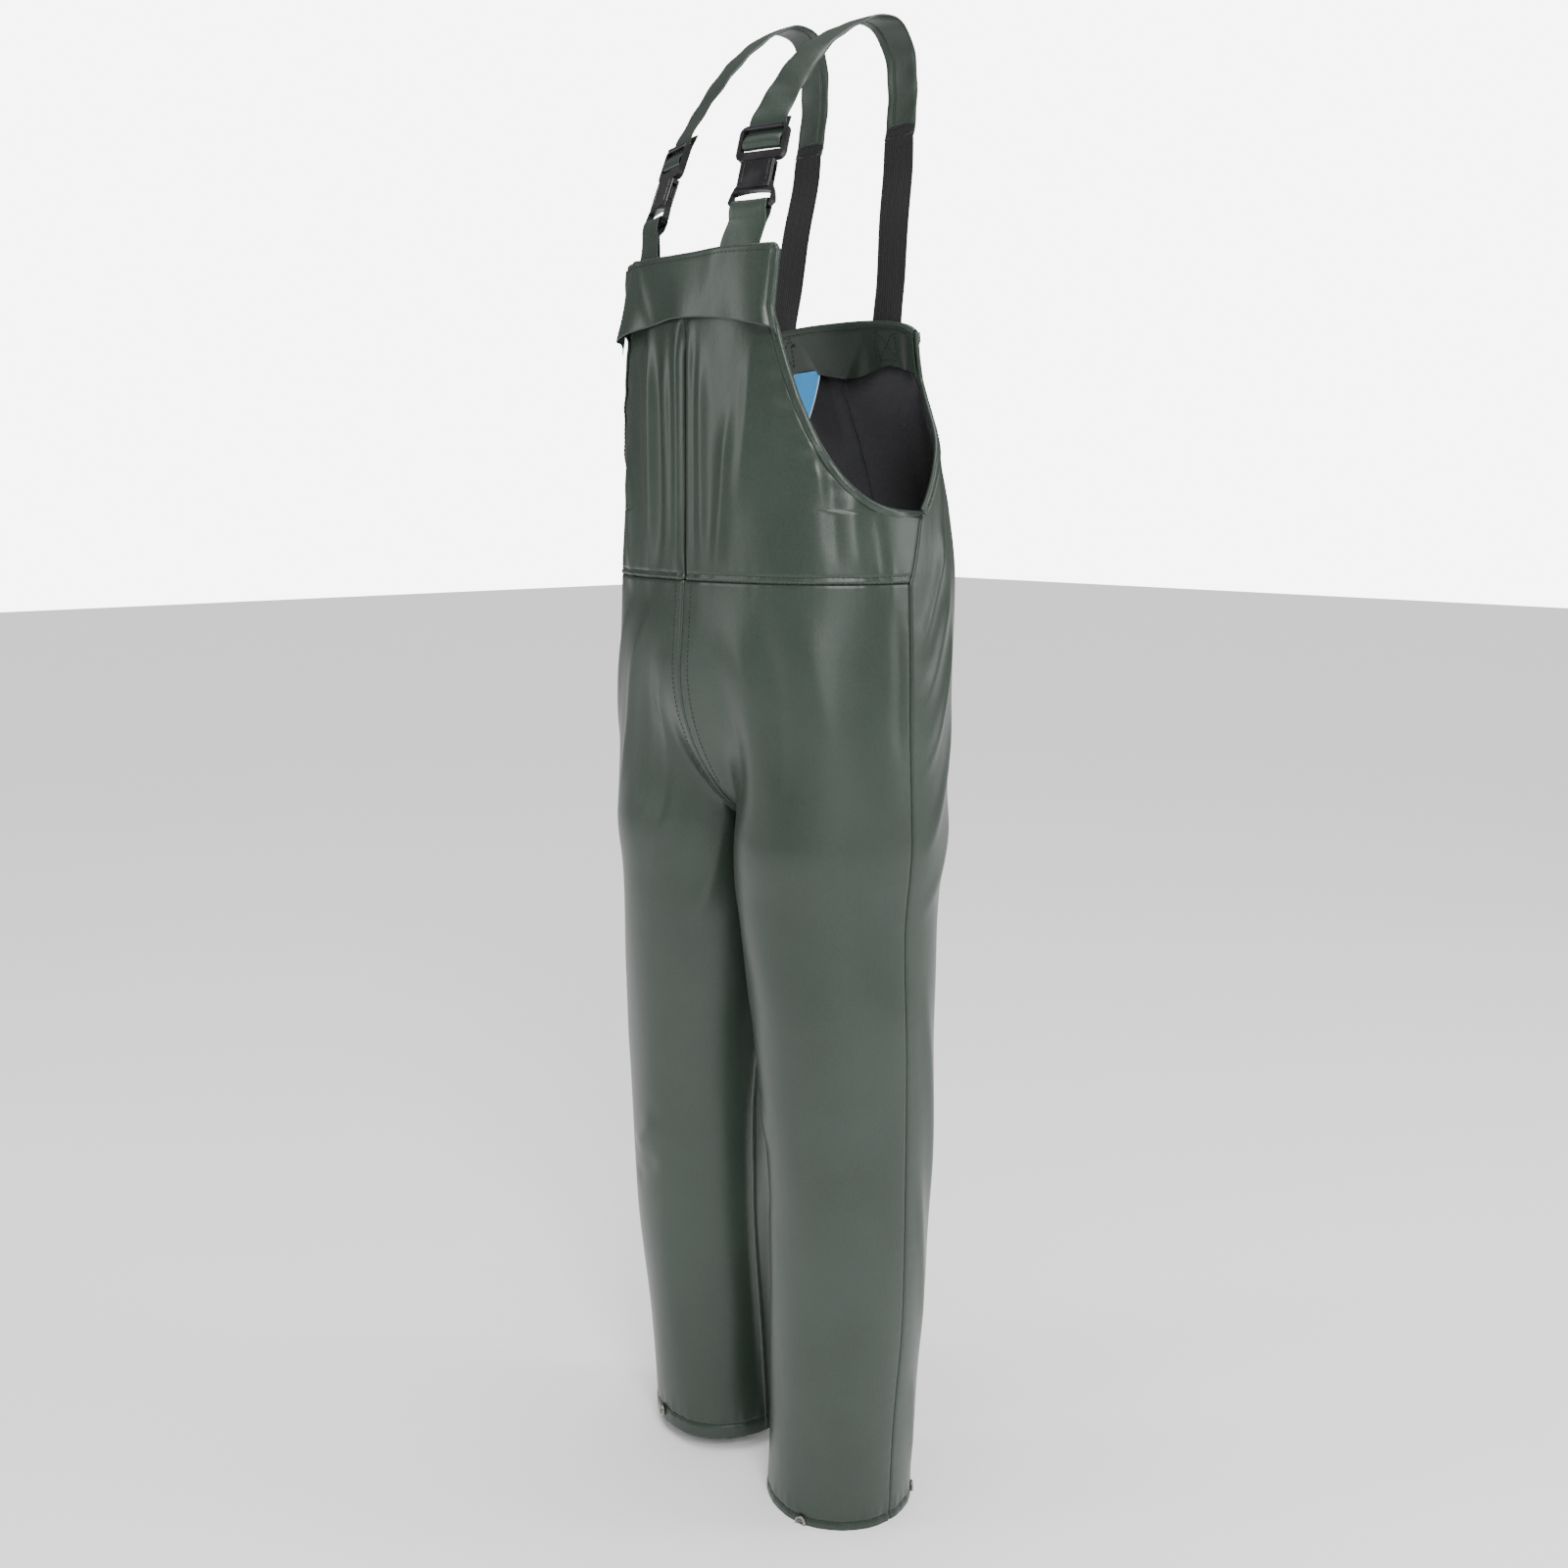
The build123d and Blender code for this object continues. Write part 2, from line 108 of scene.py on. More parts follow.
class Finish:  # one material; add() makes any node from its type, settings and socket values
    def __init__(self, name):
        self.material = bpy.data.materials.new(name)
        self.material.use_nodes = True
        self.tree = self.material.node_tree
        self.tree.nodes.clear()
        self.shader = self.tree.nodes.new("ShaderNodeBsdfPrincipled")
        out = self.tree.nodes.new("ShaderNodeOutputMaterial")
        self.tree.links.new(self.shader.outputs[0], out.inputs[0])
        self.coords = self.add("ShaderNodeTexCoord").outputs["Object"]

    def add(self, kind, settings=(), values=()):
        node = self.tree.nodes.new(kind)
        for key, value in dict(settings).items():
            if key == "stops":
                for stop, (place, colour) in zip(node.color_ramp.elements, value):
                    stop.position, stop.color = place, colour
            else:
                setattr(node, key, value)
        for key, value in dict(values).items():
            plug(self.tree, value, node.inputs[key])
        return node

    def noise(self, scale, detail=2.0, coords=None, stretch=None, roughness=0.5):
        where = self.coords if coords is None else coords
        if stretch is not None:
            where = self.add("ShaderNodeMapping", {}, {"Vector": where, "Scale": stretch}).outputs[0]
        node = self.add("ShaderNodeTexNoise", {}, {"Vector": where, "Scale": scale, "Detail": detail,
                                                   "Roughness": roughness})
        return Wire(self.tree, node.outputs["Fac"])

    def mix(self, factor, first, second):
        node = self.add("ShaderNodeMix", {"data_type": "RGBA"}, {0: factor, 6: first, 7: second})
        return node.outputs[2]

    def bump(self, height, strength, distance, before=None):
        values = {"Height": height, "Strength": strength, "Distance": distance}
        if before is not None:
            values["Normal"] = before
        return self.add("ShaderNodeBump", {}, values).outputs[0]

    def ramp(self, value, low, high):  # 0 below low, 1 above high, smooth between
        node = self.add("ShaderNodeMapRange", {"interpolation_type": "SMOOTHSTEP"},
                        {"Value": value, "From Min": low, "From Max": high})
        return Wire(self.tree, node.outputs[0])

    def uv(self):
        node = self.add("ShaderNodeUVMap", {"uv_map": "cloth"})
        parts = self.add("ShaderNodeSeparateXYZ", {}, {0: node.outputs[0]})
        return Wire(self.tree, parts.outputs[0]), Wire(self.tree, parts.outputs[1])

    def set(self, **values):
        for key, value in values.items():
            plug(self.tree, value, self.shader.inputs[key.replace("_", " ")])
        return self.material


# coated cloth: a satin film over knit, in two close greens
coated = {"light": (0.029, 0.043, 0.033, 1), "dark": (0.021, 0.032, 0.024, 1), "rough": 0.36}


def makeCoatedCloth():
    f = Finish("coatedCloth")
    broad = f.noise(7.0, 3.0)
    fine = f.noise(420.0, 3.0, roughness=0.6)
    grain = f.noise(1500.0, 2.0)
    creases = f.noise(38.0, 4.0, stretch=(1, 1, 0.35), roughness=0.55)
    colour = f.mix(f.ramp(broad * 0.7 + fine * 0.3, 0.35, 0.65), coated["dark"], coated["light"])
    rough = coated["rough"] + (broad - 0.5) * 0.12 + (fine - 0.5) * 0.10
    normal = f.bump(fine * 0.5 + grain * 0.4, 0.20, 0.0006, f.bump(creases, 0.10, 0.004))
    return f.set(Base_Color=colour, Roughness=rough, Normal=normal, Specular_IOR_Level=0.42)


def makeKnitLining():
    f = Finish("knitLining")
    u, v = f.uv()
    loops = (u * 2600.0).math("SINE") * (v * 2600.0).math("SINE")
    fuzz = f.noise(700.0, 4.0, roughness=0.7)
    broad = f.noise(14.0, 3.0)
    dark, light = (0.030, 0.030, 0.036, 1), (0.052, 0.052, 0.060, 1)
    colour = f.mix(f.ramp(fuzz * 0.6 + broad * 0.4, 0.3, 0.7), dark, light)
    normal = f.bump(loops * 0.4 + fuzz, 0.5, 0.0006)
    rough = 0.88 + (fuzz - 0.5) * 0.15
    return f.set(Base_Color=colour, Roughness=rough, Normal=normal, Specular_IOR_Level=0.25,
                 Sheen_Weight=0.25, Sheen_Roughness=0.5)


# webbing: cords run along it and weft rows across it; counts are per metre
weave = {"cords": 560, "rows": 900, "bands": 110}


def makeElastic():
    f = Finish("elasticWeave")
    u, v = f.uv()
    turn = 2 * math.pi
    ribs = (u * turn * weave["cords"]).math("SINE") * 0.5 + 0.5
    rows = (v * turn * weave["rows"]).math("SINE") * 0.5 + 0.5
    bands = (u * turn * weave["bands"]).math("SINE") * 0.5 + 0.5
    fuzz = f.noise(900.0, 3.0)
    colour = f.mix(ribs * 0.4 + rows * 0.3 + fuzz * 0.3, (0.004, 0.0035, 0.0045, 1), (0.015, 0.013, 0.015, 1))
    normal = f.bump(ribs * 0.4 + rows * 0.4 + fuzz * 0.4 + bands * 0.25, 0.55, 0.0006)
    rough = 0.72 + (fuzz - 0.5) * 0.2
    return f.set(Base_Color=colour, Roughness=rough, Normal=normal, Specular_IOR_Level=0.25,
                 Sheen_Weight=0.2, Sheen_Roughness=0.4)


def makeThread():
    f = Finish("seamThread")
    twist = f.noise(2600.0, 2.0)
    colour = f.mix(twist, (0.010, 0.015, 0.011, 1), (0.022, 0.031, 0.024, 1))
    return f.set(Base_Color=colour, Roughness=0.6 + (twist - 0.5) * 0.2, Normal=f.bump(twist, 0.4, 0.0002))


def makePlastic():
    f = Finish("mouldedPlastic")
    grain = f.noise(1800.0, 3.0)
    worn = f.noise(60.0, 3.0)
    colour = f.mix(f.ramp(worn, 0.35, 0.7), (0.008, 0.008, 0.009, 1), (0.017, 0.017, 0.019, 1))
    return f.set(Base_Color=colour, Roughness=0.30 + (worn - 0.5) * 0.12 + (grain - 0.5) * 0.1,
                 Normal=f.bump(grain, 0.12, 0.0003), Specular_IOR_Level=0.55)


def makeStudMetal():
    f = Finish("studMetal")
    brush = f.noise(700.0, 3.0, stretch=(1, 1, 6))
    patches = f.noise(180.0, 3.0)
    colour = f.mix(f.ramp(patches, 0.35, 0.65), (0.20, 0.19, 0.165, 1), (0.34, 0.33, 0.29, 1))
    return f.set(Base_Color=colour, Metallic=1.0, Roughness=0.34 + (brush - 0.5) * 0.2,
                 Normal=f.bump(brush, 0.15, 0.0003))


# care label: a plain blue ribbon with a white woven edge
label = {"width": 0.038, "length": 0.056, "edge": 0.0011, "blue": (0.035, 0.34, 0.78, 1),
         "white": (0.62, 0.68, 0.72, 1), "lean": 0.20}


def makeLabel():
    f = Finish("labelRibbon")
    u, v = f.uv()
    near = label["edge"]
    far = label["width"] - label["edge"]
    threads = (u * 9400).math("SINE") * (v * 9400).math("SINE")
    farSide = f.ramp(u, far - 0.0004, far + 0.0004)
    nearSide = 1 - f.ramp(u, near - 0.0004, near + 0.0004)
    edge = (farSide + nearSide).math("MINIMUM", 1.0)
    fuzz = f.noise(500.0, 2.0)
    deep = tuple(0.82 * c for c in label["blue"][:3]) + (1,)
    blue = f.mix(fuzz, deep, label["blue"])
    return f.set(Base_Color=f.mix(edge, blue, label["white"]), Roughness=0.55 + (fuzz - 0.5) * 0.1,
                 Normal=f.bump(threads, 0.2, 0.0002))


def makeFloor():
    f = Finish("paleFloor")
    soft = f.noise(3.0, 2.0)
    return f.set(Base_Color=f.mix(soft, (0.92, 0.92, 0.92, 1), (0.94, 0.94, 0.94, 1)), Roughness=0.9)


cloth = makeCoatedCloth()
lining = makeKnitLining()
elastic = makeElastic()
thread = makeThread()
plastic = makePlastic()
studMetal = makeStudMetal()
labelFinish = makeLabel()
floorFinish = makeFloor()
print("materials ready")


def gridMesh(name, points, uvs=None, ring=False):
    # points is rows x columns x 3; quads join neighbours, so the surface is the grid itself.
    # A ring also joins the last column to the first, and gets a flat cap at each end.
    rows, cols = points.shape[:2]
    index = np.arange(rows * cols).reshape(rows, cols)
    if ring:
        index = np.concatenate([index, index[:, :1]], axis=1)
    quads = np.stack([index[:-1, :-1], index[:-1, 1:], index[1:, 1:], index[1:, :-1]], axis=-1).reshape(-1, 4)
    corners = [quads.reshape(-1)]
    starts = [np.arange(0, len(quads) * 4, 4)]
    if ring:
        corners += [index[0, :-1][::-1], index[-1, :-1]]
        starts += [[len(quads) * 4], [len(quads) * 4 + cols]]
    corners = np.concatenate(corners).astype(np.int32)
    starts = np.concatenate(starts).astype(np.int32)
    mesh = bpy.data.meshes.new(name)
    mesh.vertices.add(rows * cols)
    mesh.vertices.foreach_set("co", points.reshape(-1).astype(np.float32))
    mesh.loops.add(len(corners))
    mesh.loops.foreach_set("vertex_index", corners)
    mesh.polygons.add(len(starts))
    mesh.polygons.foreach_set("loop_start", starts)
    mesh.polygons.foreach_set("use_smooth", np.arange(len(starts)) < len(quads))
    if uvs is not None:
        layer = mesh.uv_layers.new(name="cloth")
        layer.data.foreach_set("uv", uvs.reshape(-1, 2)[corners].reshape(-1).astype(np.float32))
    mesh.update(calc_edges=True)
    mesh.validate()
    obj = bpy.data.objects.new(name, mesh)
    bpy.context.scene.collection.objects.link(obj)
    return obj


def arcLengthUv(points):
    # flat coordinates of a grid in metres: distance walked across and along it
    across = np.linalg.norm(np.diff(points, axis=1), axis=2)
    along = np.linalg.norm(np.diff(points, axis=0), axis=2)
    u = np.concatenate([np.zeros((len(points), 1)), np.cumsum(across, axis=1)], axis=1)
    v = np.concatenate([np.zeros((1, points.shape[1])), np.cumsum(along, axis=0)], axis=0)
    return np.stack([u, v], axis=-1)


def gridArea(points):
    a = points[1:, :-1] - points[:-1, :-1]
    b = points[:-1, 1:] - points[:-1, :-1]
    return float(np.linalg.norm(np.cross(a, b), axis=2).sum())


def unit(vectors):
    return vectors / (np.linalg.norm(vectors, axis=-1, keepdims=True) + 1e-12)


def gridNormals(points):
    # the normal is the way across crossed with the way up the grid
    return unit(np.cross(np.gradient(points, axis=1), np.gradient(points, axis=0)))


def mirrored(points):
    # the same grid on the wearer's other side, still facing outwards
    return (points * np.array([-1.0, 1.0, 1.0]))[:, ::-1]


def thicken(obj, thickness, offset, inner=1):
    solid = obj.modifiers.new("clothThickness", "SOLIDIFY")
    solid.thickness = thickness
    solid.offset = offset
    solid.material_offset = inner
    solid.use_even_offset = False
    solid.use_quality_normals = True


def smoothStep(value):
    value = np.clip(value, 0, 1)
    return value * value * (3 - 2 * value)


def splineThrough(points, count):
    # a natural cubic curve through given points, read at evenly spaced places along it
    points = np.asarray(points, float)
    knots = np.concatenate([[0], np.cumsum(np.sqrt(np.linalg.norm(np.diff(points[:, :3], axis=0), axis=1)))])
    step = np.diff(knots)
    size = len(knots)
    system = np.eye(size)
    right = np.zeros_like(points)
    for i in range(1, size - 1):
        system[i, i - 1:i + 2] = [step[i - 1], 2 * (step[i - 1] + step[i]), step[i]]
        right[i] = 6 * ((points[i + 1] - points[i]) / step[i] - (points[i] - points[i - 1]) / step[i - 1])
    bend = np.linalg.solve(system, right)
    fine = np.linspace(0, knots[-1], 2400)
    for _ in range(2):
        i = np.clip(np.searchsorted(knots, fine, side="right") - 1, 0, size - 2)
        h = step[i][:, None]
        b = (fine[:, None] - knots[i][:, None]) / h
        a = 1 - b
        sway = (a**3 - a) * bend[i] + (b**3 - b) * bend[i + 1]
        curve = a * points[i] + b * points[i + 1] + sway * h * h / 6
        walked = np.concatenate([[0], np.cumsum(np.linalg.norm(np.diff(curve[:, :3], axis=0), axis=1))])
        fine = np.interp(np.linspace(0, walked[-1], count), walked, fine)
    return curve


def alongPath(path, values, places):
    # values given at each row of a path, read at places measured along it in metres
    walked = np.concatenate([[0], np.cumsum(np.linalg.norm(np.diff(path, axis=0), axis=1))])
    read = [np.interp(places, walked, values[:, k]) for k in range(values.shape[1])]
    return np.stack(read, axis=-1), walked[-1]


# one stitch: a short round-ended dash of thread that sits in the cloth
stitch = {"length": 0.0031, "pitch": 0.0046, "width": 0.0008, "height": 0.00035, "sunk": 0.0003}


def stitchRow(path, normals, pitch=None):
    # evenly spaced dashes along a path: rows of (centre, direction, normal)
    pitch = stitch["pitch"] if pitch is None else pitch
    length = np.linalg.norm(np.diff(path, axis=0), axis=1).sum()
    places = (np.arange(max(1, int(length / pitch))) + 0.5) * pitch
    centres, _ = alongPath(path, path, places)
    before, _ = alongPath(path, path, places - pitch * 0.3)
    after, _ = alongPath(path, path, places + pitch * 0.3)
    up, _ = alongPath(path, normals, places)
    return np.stack([centres, unit(after - before), unit(up)], axis=1)


def stitchPiece(name, rows, body):
    # each dash has three square rings, small at the ends and full in the middle, and two end caps
    dashes = np.concatenate(rows)
    centre, ahead, up = dashes[:, 0], dashes[:, 1], dashes[:, 2]
    aside = unit(np.cross(up, ahead))
    up = unit(np.cross(ahead, aside))
    rings = []
    for place, grow in ((-0.5, 0.35), (0.0, 1.0), (0.5, 0.35)):
        for across, over in ((-0.5, 0), (0.5, 0), (0.5, 1), (-0.5, 1)):
            height = stitch["height"] * grow if over else -stitch["sunk"]
            rings.append(centre + ahead * stitch["length"] * place + aside * stitch["width"] * grow * across
                         + up * height)
    points = np.stack(rings, axis=1)
    pattern = [(0, 3, 2, 1), (8, 9, 10, 11)]
    for base in (0, 4):
        for k in range(4):
            pattern.append((base + k, base + (k + 1) % 4, base + 4 + (k + 1) % 4, base + 4 + k))
    faces = (np.array(pattern)[None] + 12 * np.arange(len(points))[:, None, None]).reshape(-1, 4)
    mesh = bpy.data.meshes.new(name)
    mesh.vertices.add(points.shape[0] * 12)
    mesh.vertices.foreach_set("co", points.reshape(-1).astype(np.float32))
    mesh.loops.add(faces.size)
    mesh.loops.foreach_set("vertex_index", faces.reshape(-1).astype(np.int32))
    mesh.polygons.add(len(faces))
    mesh.polygons.foreach_set("loop_start", np.arange(0, faces.size, 4, dtype=np.int32))
    mesh.polygons.foreach_set("use_smooth", np.ones(len(faces), dtype=bool))
    mesh.update(calc_edges=True)
    mesh.validate()
    obj = bpy.data.objects.new(name, mesh)
    bpy.context.scene.collection.objects.link(obj)
    obj.data.materials.append(thread)
    if body:
        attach(obj, body)
    return obj


# The shape of the worn garment, in metres. Lists hold (height, size); y is counted from the shoulders.
shape = {
    "waist": -0.527, "armhole": -0.463, "throat": -0.285, "bibTop": -0.227,
    "backingBottom": -0.430, "bandTop": -0.288, "bandBottom": -0.334, "hip": -0.600, "crotch": -0.770,
    "blendTop": -0.560, "blendBottom": -0.870, "hem": -1.466, "hemDepth": 0.018,
    "trunkY": -0.080, "power": 2.4,
    "backSwing": 0.025, "sideSeamTop": 96, "bibEdge": 35, "bibCorner": 38, "backEdge": 54,
    "trunkHalfWidth": ((-.770, .187), (-.650, .183), (-.527, .180), (-.463, .174), (-.350, .168),
                       (-.227, .165)),
    "trunkFront": ((-.770, .121), (-.640, .128), (-.527, .121), (-.227, .118)),
    "trunkBack": ((-.770, .120), (-.640, .137), (-.527, .138), (-.463, .132), (-.400, .112), (-.334, .084),
                  (-.280, .072)),
    "legApart": ((-1.466, .094), (-1.358, .100), (-1.200, .112), (-1.108, .113), (-.945, .102),
                 (-.830, .0925),
                 (-.770, .094)),
    "legHalfWidth": ((-1.466, .074), (-1.358, .075), (-1.200, .078), (-1.108, .079), (-.945, .088),
                     (-.830, .0915),
                     (-.770, .0934)),
    "legHalfDepth": ((-1.466, .073), (-1.358, .075), (-1.200, .078), (-1.108, .080), (-.945, .091),
                     (-.830, .105),
                     (-.770, .117)),
    "legY": ((-1.466, 0), (-1.200, -.005), (-.945, -.007), (-.770, -.003)),
}


def eased(z, stops):
    # size at height z: a monotone cubic through the listed heights
    stops = sorted(stops)
    heights = np.array([s[0] for s in stops])
    sizes = np.array([s[1] for s in stops])
    slopes = np.diff(sizes) / np.diff(heights)
    product, total = slopes[:-1] * slopes[1:], slopes[:-1] + slopes[1:]
    inner = np.where(product > 0, 2 * product / (total + 1e-12), 0)
    tangents = np.concatenate([[slopes[0] * 0.3], inner, [slopes[-1] * 0.3]])
    z = np.clip(z, heights[0], heights[-1])
    i = np.clip(np.searchsorted(heights, z, side="right") - 1, 0, len(stops) - 2)
    step = heights[i + 1] - heights[i]
    s = (z - heights[i]) / step
    return ((2 * s**3 - 3 * s**2 + 1) * sizes[i] + (s**3 - 2 * s**2 + s) * step * tangents[i]
            + (3 * s**2 - 2 * s**3) * sizes[i + 1] + (s**3 - s**2) * step * tangents[i + 1])


def signedPower(value, power):
    return np.sign(value) * np.abs(value) ** power


def legShare(turn, z):
    # how far the outline has turned from trunk to leg: a quarter ellipse at the middles, slower at the sides
    down = np.clip((shape["hip"] - z) / (shape["hip"] - shape["crotch"]), 0, 1)
    # round at the inseam and smooth away from it
    sharp = 0.5 + smoothStep(np.minimum(turn, 2 - turn) / 0.22)
    middle = 1 - (1 - down**2) ** sharp
    side = smoothStep((shape["blendTop"] - z) / (shape["blendTop"] - shape["blendBottom"]))
    return side + (middle - side) * np.clip(np.abs(turn - 1), 0, 1) ** 3


def outline(turn, z):
    # a superellipse round the trunk, turning into an ellipse round each leg below the hips
    share = legShare(turn, z)
    trunkAngle = np.radians(90 * np.clip(turn, 0, 2))
    depth = np.where(turn < 1, eased(z, shape["trunkFront"]), eased(z, shape["trunkBack"]))
    trunkX = eased(z, shape["trunkHalfWidth"]) * signedPower(np.sin(trunkAngle), 2 / shape["power"])
    trunkY = -depth * signedPower(np.cos(trunkAngle), 2 / shape["power"])
    legAngle = np.radians(180 * turn)
    legX = eased(z, shape["legApart"]) - eased(z, shape["legHalfWidth"]) * np.cos(legAngle)
    legY = eased(z, shape["legY"]) - eased(z, shape["legHalfDepth"]) * np.sin(legAngle)
    return (1 - share) * trunkX + share * legX, (1 - share) * trunkY + share * legY + shape["trunkY"]


def clothPoints(turn, z, lift, side=1):
    # the outline point moved outward by lift along the outline's level normal; side -1 is the mirror half
    turn, z, lift, side = np.broadcast_arrays(*(np.asarray(v, float) for v in (turn, z, lift, side)))
    x, y = outline(turn, z)
    beforeX, beforeY = outline(np.where(turn > 0.01, turn - 0.01, turn), z)
    afterX, afterY = outline(np.where(turn < 1.99, turn + 0.01, turn), z)
    runX, runY = afterX - beforeX, afterY - beforeY
    length = np.hypot(runX, runY) + 1e-9
    outX, outY = runY / length, -runX / length
    # the back's upper ends swing backwards, so that the back hangs flatter than a body
    end = np.clip((2 - turn) / 0.6, 0, 1) ** 2 * (turn > 1)
    swing = shape["backSwing"] * end * smoothStep((z + 0.430) / 0.10)
    bow = (0.005 - 0.014 * end) * smoothStep((z + 0.380) / 0.08) * (turn > 1)
    x = np.maximum(0, x + outX * lift - swing) * side
    return np.stack([x, y + outY * lift + swing, z + bow], axis=-1)


def hemDrop(z, side):
    # the left leg hangs a little lower than the right one
    return -0.011 * side * smoothStep((-0.85 - z) / 0.60)


def sideTurn(z):
    share = np.clip((z - shape["waist"]) / (shape["armhole"] - shape["waist"]), 0, 1)
    return 1 + share * (shape["sideSeamTop"] / 90 - 1)


def bibTurn(z):
    # front edge of the armhole: in from the side seam, then up the bib's edge
    share = np.clip((z - shape["armhole"]) / (shape["throat"] - shape["armhole"]), 0, 1)
    sweep = shape["bibEdge"] + (shape["sideSeamTop"] - shape["bibEdge"]) * (1 - share**0.4) ** 1.15
    rise = np.clip((z - shape["throat"]) / (shape["bibTop"] - shape["throat"]), 0, 1)
    sweep = sweep + rise * (shape["bibCorner"] - shape["bibEdge"])
    return np.where(z <= shape["armhole"], sideTurn(z), sweep / 90)


def backTurn(z):
    # back edge of the armhole: up to the band across the back
    share = np.clip((z - shape["armhole"]) / (shape["bandBottom"] - shape["armhole"]), 0, 1)
    low = 180 - shape["sideSeamTop"]
    sweep = shape["backEdge"] + (low - shape["backEdge"]) * (1 - share) ** 1.2
    return np.where(z <= shape["armhole"], sideTurn(z), 2 - sweep / 90)


# Folds: each is a soft ridge along a line on the cloth, given as (turn and height of one end), (turn and
# height of the other end), ridge height in mm, half width in mm. A negative height is a hollow.
clothSpan = 0.27  # metres of cloth in one turn
leftFolds = [
    ((0.06, -0.300), (0.075, -0.540), 3.0, 7), ((0.20, -0.360), (0.115, -0.535), 3.2, 8),
    ((0.30, -0.300), (0.22, -0.470), 2.2, 10), ((0.33, -0.285), (0.46, -0.530), -2.2, 20),
    ((0.62, -0.400), (0.66, -0.520), -1.8, 11), ((0.74, -0.430), (0.76, -0.530), 1.8, 14),
    ((0.54, -0.385), (0.60, -0.460), 1.6, 9), ((0.86, -0.455), (0.88, -0.530), -1.2, 8),
    ((0.10, -0.580), (0.34, -0.760), -2.6, 16), ((0.30, -0.545), (0.56, -0.745), -3.0, 15),
    ((0.20, -0.560), (0.46, -0.760), 2.4, 16), ((0.48, -0.545), (0.72, -0.700), 2.0, 22),
    ((0.10, -0.720), (0.32, -0.850), 2.6, 14), ((0.20, -0.840), (0.30, -0.960), 2.0, 14),
    ((0.94, -0.545), (0.965, -0.700), -1.6, 8),
    ((1.03, -0.600), (1.22, -0.475), 2.6, 8), ((1.03, -0.720), (1.36, -0.560), 3.2, 8),
    ((1.04, -0.790), (1.38, -0.640), 2.8, 8), ((1.03, -0.655), (1.30, -0.520), 2.6, 9),
    ((1.05, -0.850), (1.36, -0.730), 2.2, 10), ((1.10, -0.900), (1.24, -1.180), 2.6, 10),
    ((1.08, -1.080), (1.20, -1.300), 2.2, 10), ((1.12, -1.300), (1.20, -1.430), 1.6, 9),
    ((0.20, -0.990), (0.36, -1.080), 2.4, 11), ((0.16, -1.060), (0.30, -1.150), -2.2, 11),
    ((0.34, -0.950), (0.34, -1.420), 1.8, 22), ((0.62, -0.850), (0.62, -1.400), -1.2, 34),
    ((1.30, -0.360), (1.15, -0.540), 3.0, 14), ((1.55, -0.330), (1.50, -0.700), 3.6, 22),
    ((1.80, -0.330), (1.70, -0.800), 3.6, 24), ((1.50, -0.800), (1.70, -1.000), 3.6, 20),
    ((1.45, -1.080), (1.72, -1.020), 3.4, 12), ((1.40, -1.140), (1.70, -1.090), -3.4, 12),
]
rightFolds = [
    ((0.07, -0.290), (0.06, -0.540), 3.6, 6), ((0.17, -0.270), (0.16, -0.545), 4.6, 7),
    ((0.115, -0.290), (0.11, -0.540), -2.6, 7), ((0.40, -0.400), (0.32, -0.545), 4.2, 8),
    ((0.28, -0.300), (0.26, -0.500), -2.4, 12), ((0.50, -0.400), (0.44, -0.545), -2.4, 10),
    ((0.04, -0.600), (0.44, -0.830), 3.8, 8), ((0.14, -0.545), (0.60, -0.760), 3.6, 8),
    ((0.09, -0.580), (0.50, -0.790), -2.6, 9), ((0.05, -0.720), (0.34, -0.900), 2.8, 10),
    ((0.30, -0.545), (0.78, -0.720), 3.0, 11), ((0.55, -0.380), (0.90, -0.520), 2.6, 14),
    ((0.44, -1.100), (0.62, -1.150), 2.6, 11), ((0.44, -1.150), (0.66, -1.190), -2.2, 11),
    ((0.44, -0.900), (0.44, -1.420), 2.0, 26), ((0.72, -0.880), (0.74, -1.380), 2.2, 26),
    ((1.05, -0.720), (1.40, -0.610), 3.2, 10), ((1.04, -0.660), (1.38, -0.570), 3.0, 10),
    ((1.06, -0.800), (1.36, -0.700), 3.0, 11), ((1.30, -0.360), (1.15, -0.540), 3.0, 14),
    ((1.60, -0.330), (1.52, -0.700), 3.6, 22), ((1.82, -0.340), (1.72, -0.820), 3.6, 24),
    ((1.50, -0.820), (1.72, -1.010), 3.6, 20), ((1.42, -1.100), (1.72, -1.040), 3.4, 12),
    ((1.40, -1.150), (1.68, -1.110), -3.4, 12),
]


def foldLift(turn, z, folds):
    # each fold: a bell with a fairly sharp crest across its line, faded towards both ends
    total = np.zeros_like(turn)
    for (t0, z0), (t1, z1), height, width in folds:
        ax, az = (t1 - t0) * clothSpan, z1 - z0
        length = math.hypot(ax, az)
        px, pz = (turn - t0) * clothSpan, z - z0
        along = (px * ax + pz * az) / length**2
        sway = 0.12 * width / 1000 * np.sin(along * 5 + t0 * 20)
        across = np.abs((px * az - pz * ax) / length + sway) / (width / 1000)
        ends = smoothStep(along / 0.35 + 0.1) * smoothStep((1 - along) / 0.35 + 0.1)
        total += height / 1000 * ends * np.exp(-across**1.7)
    return total


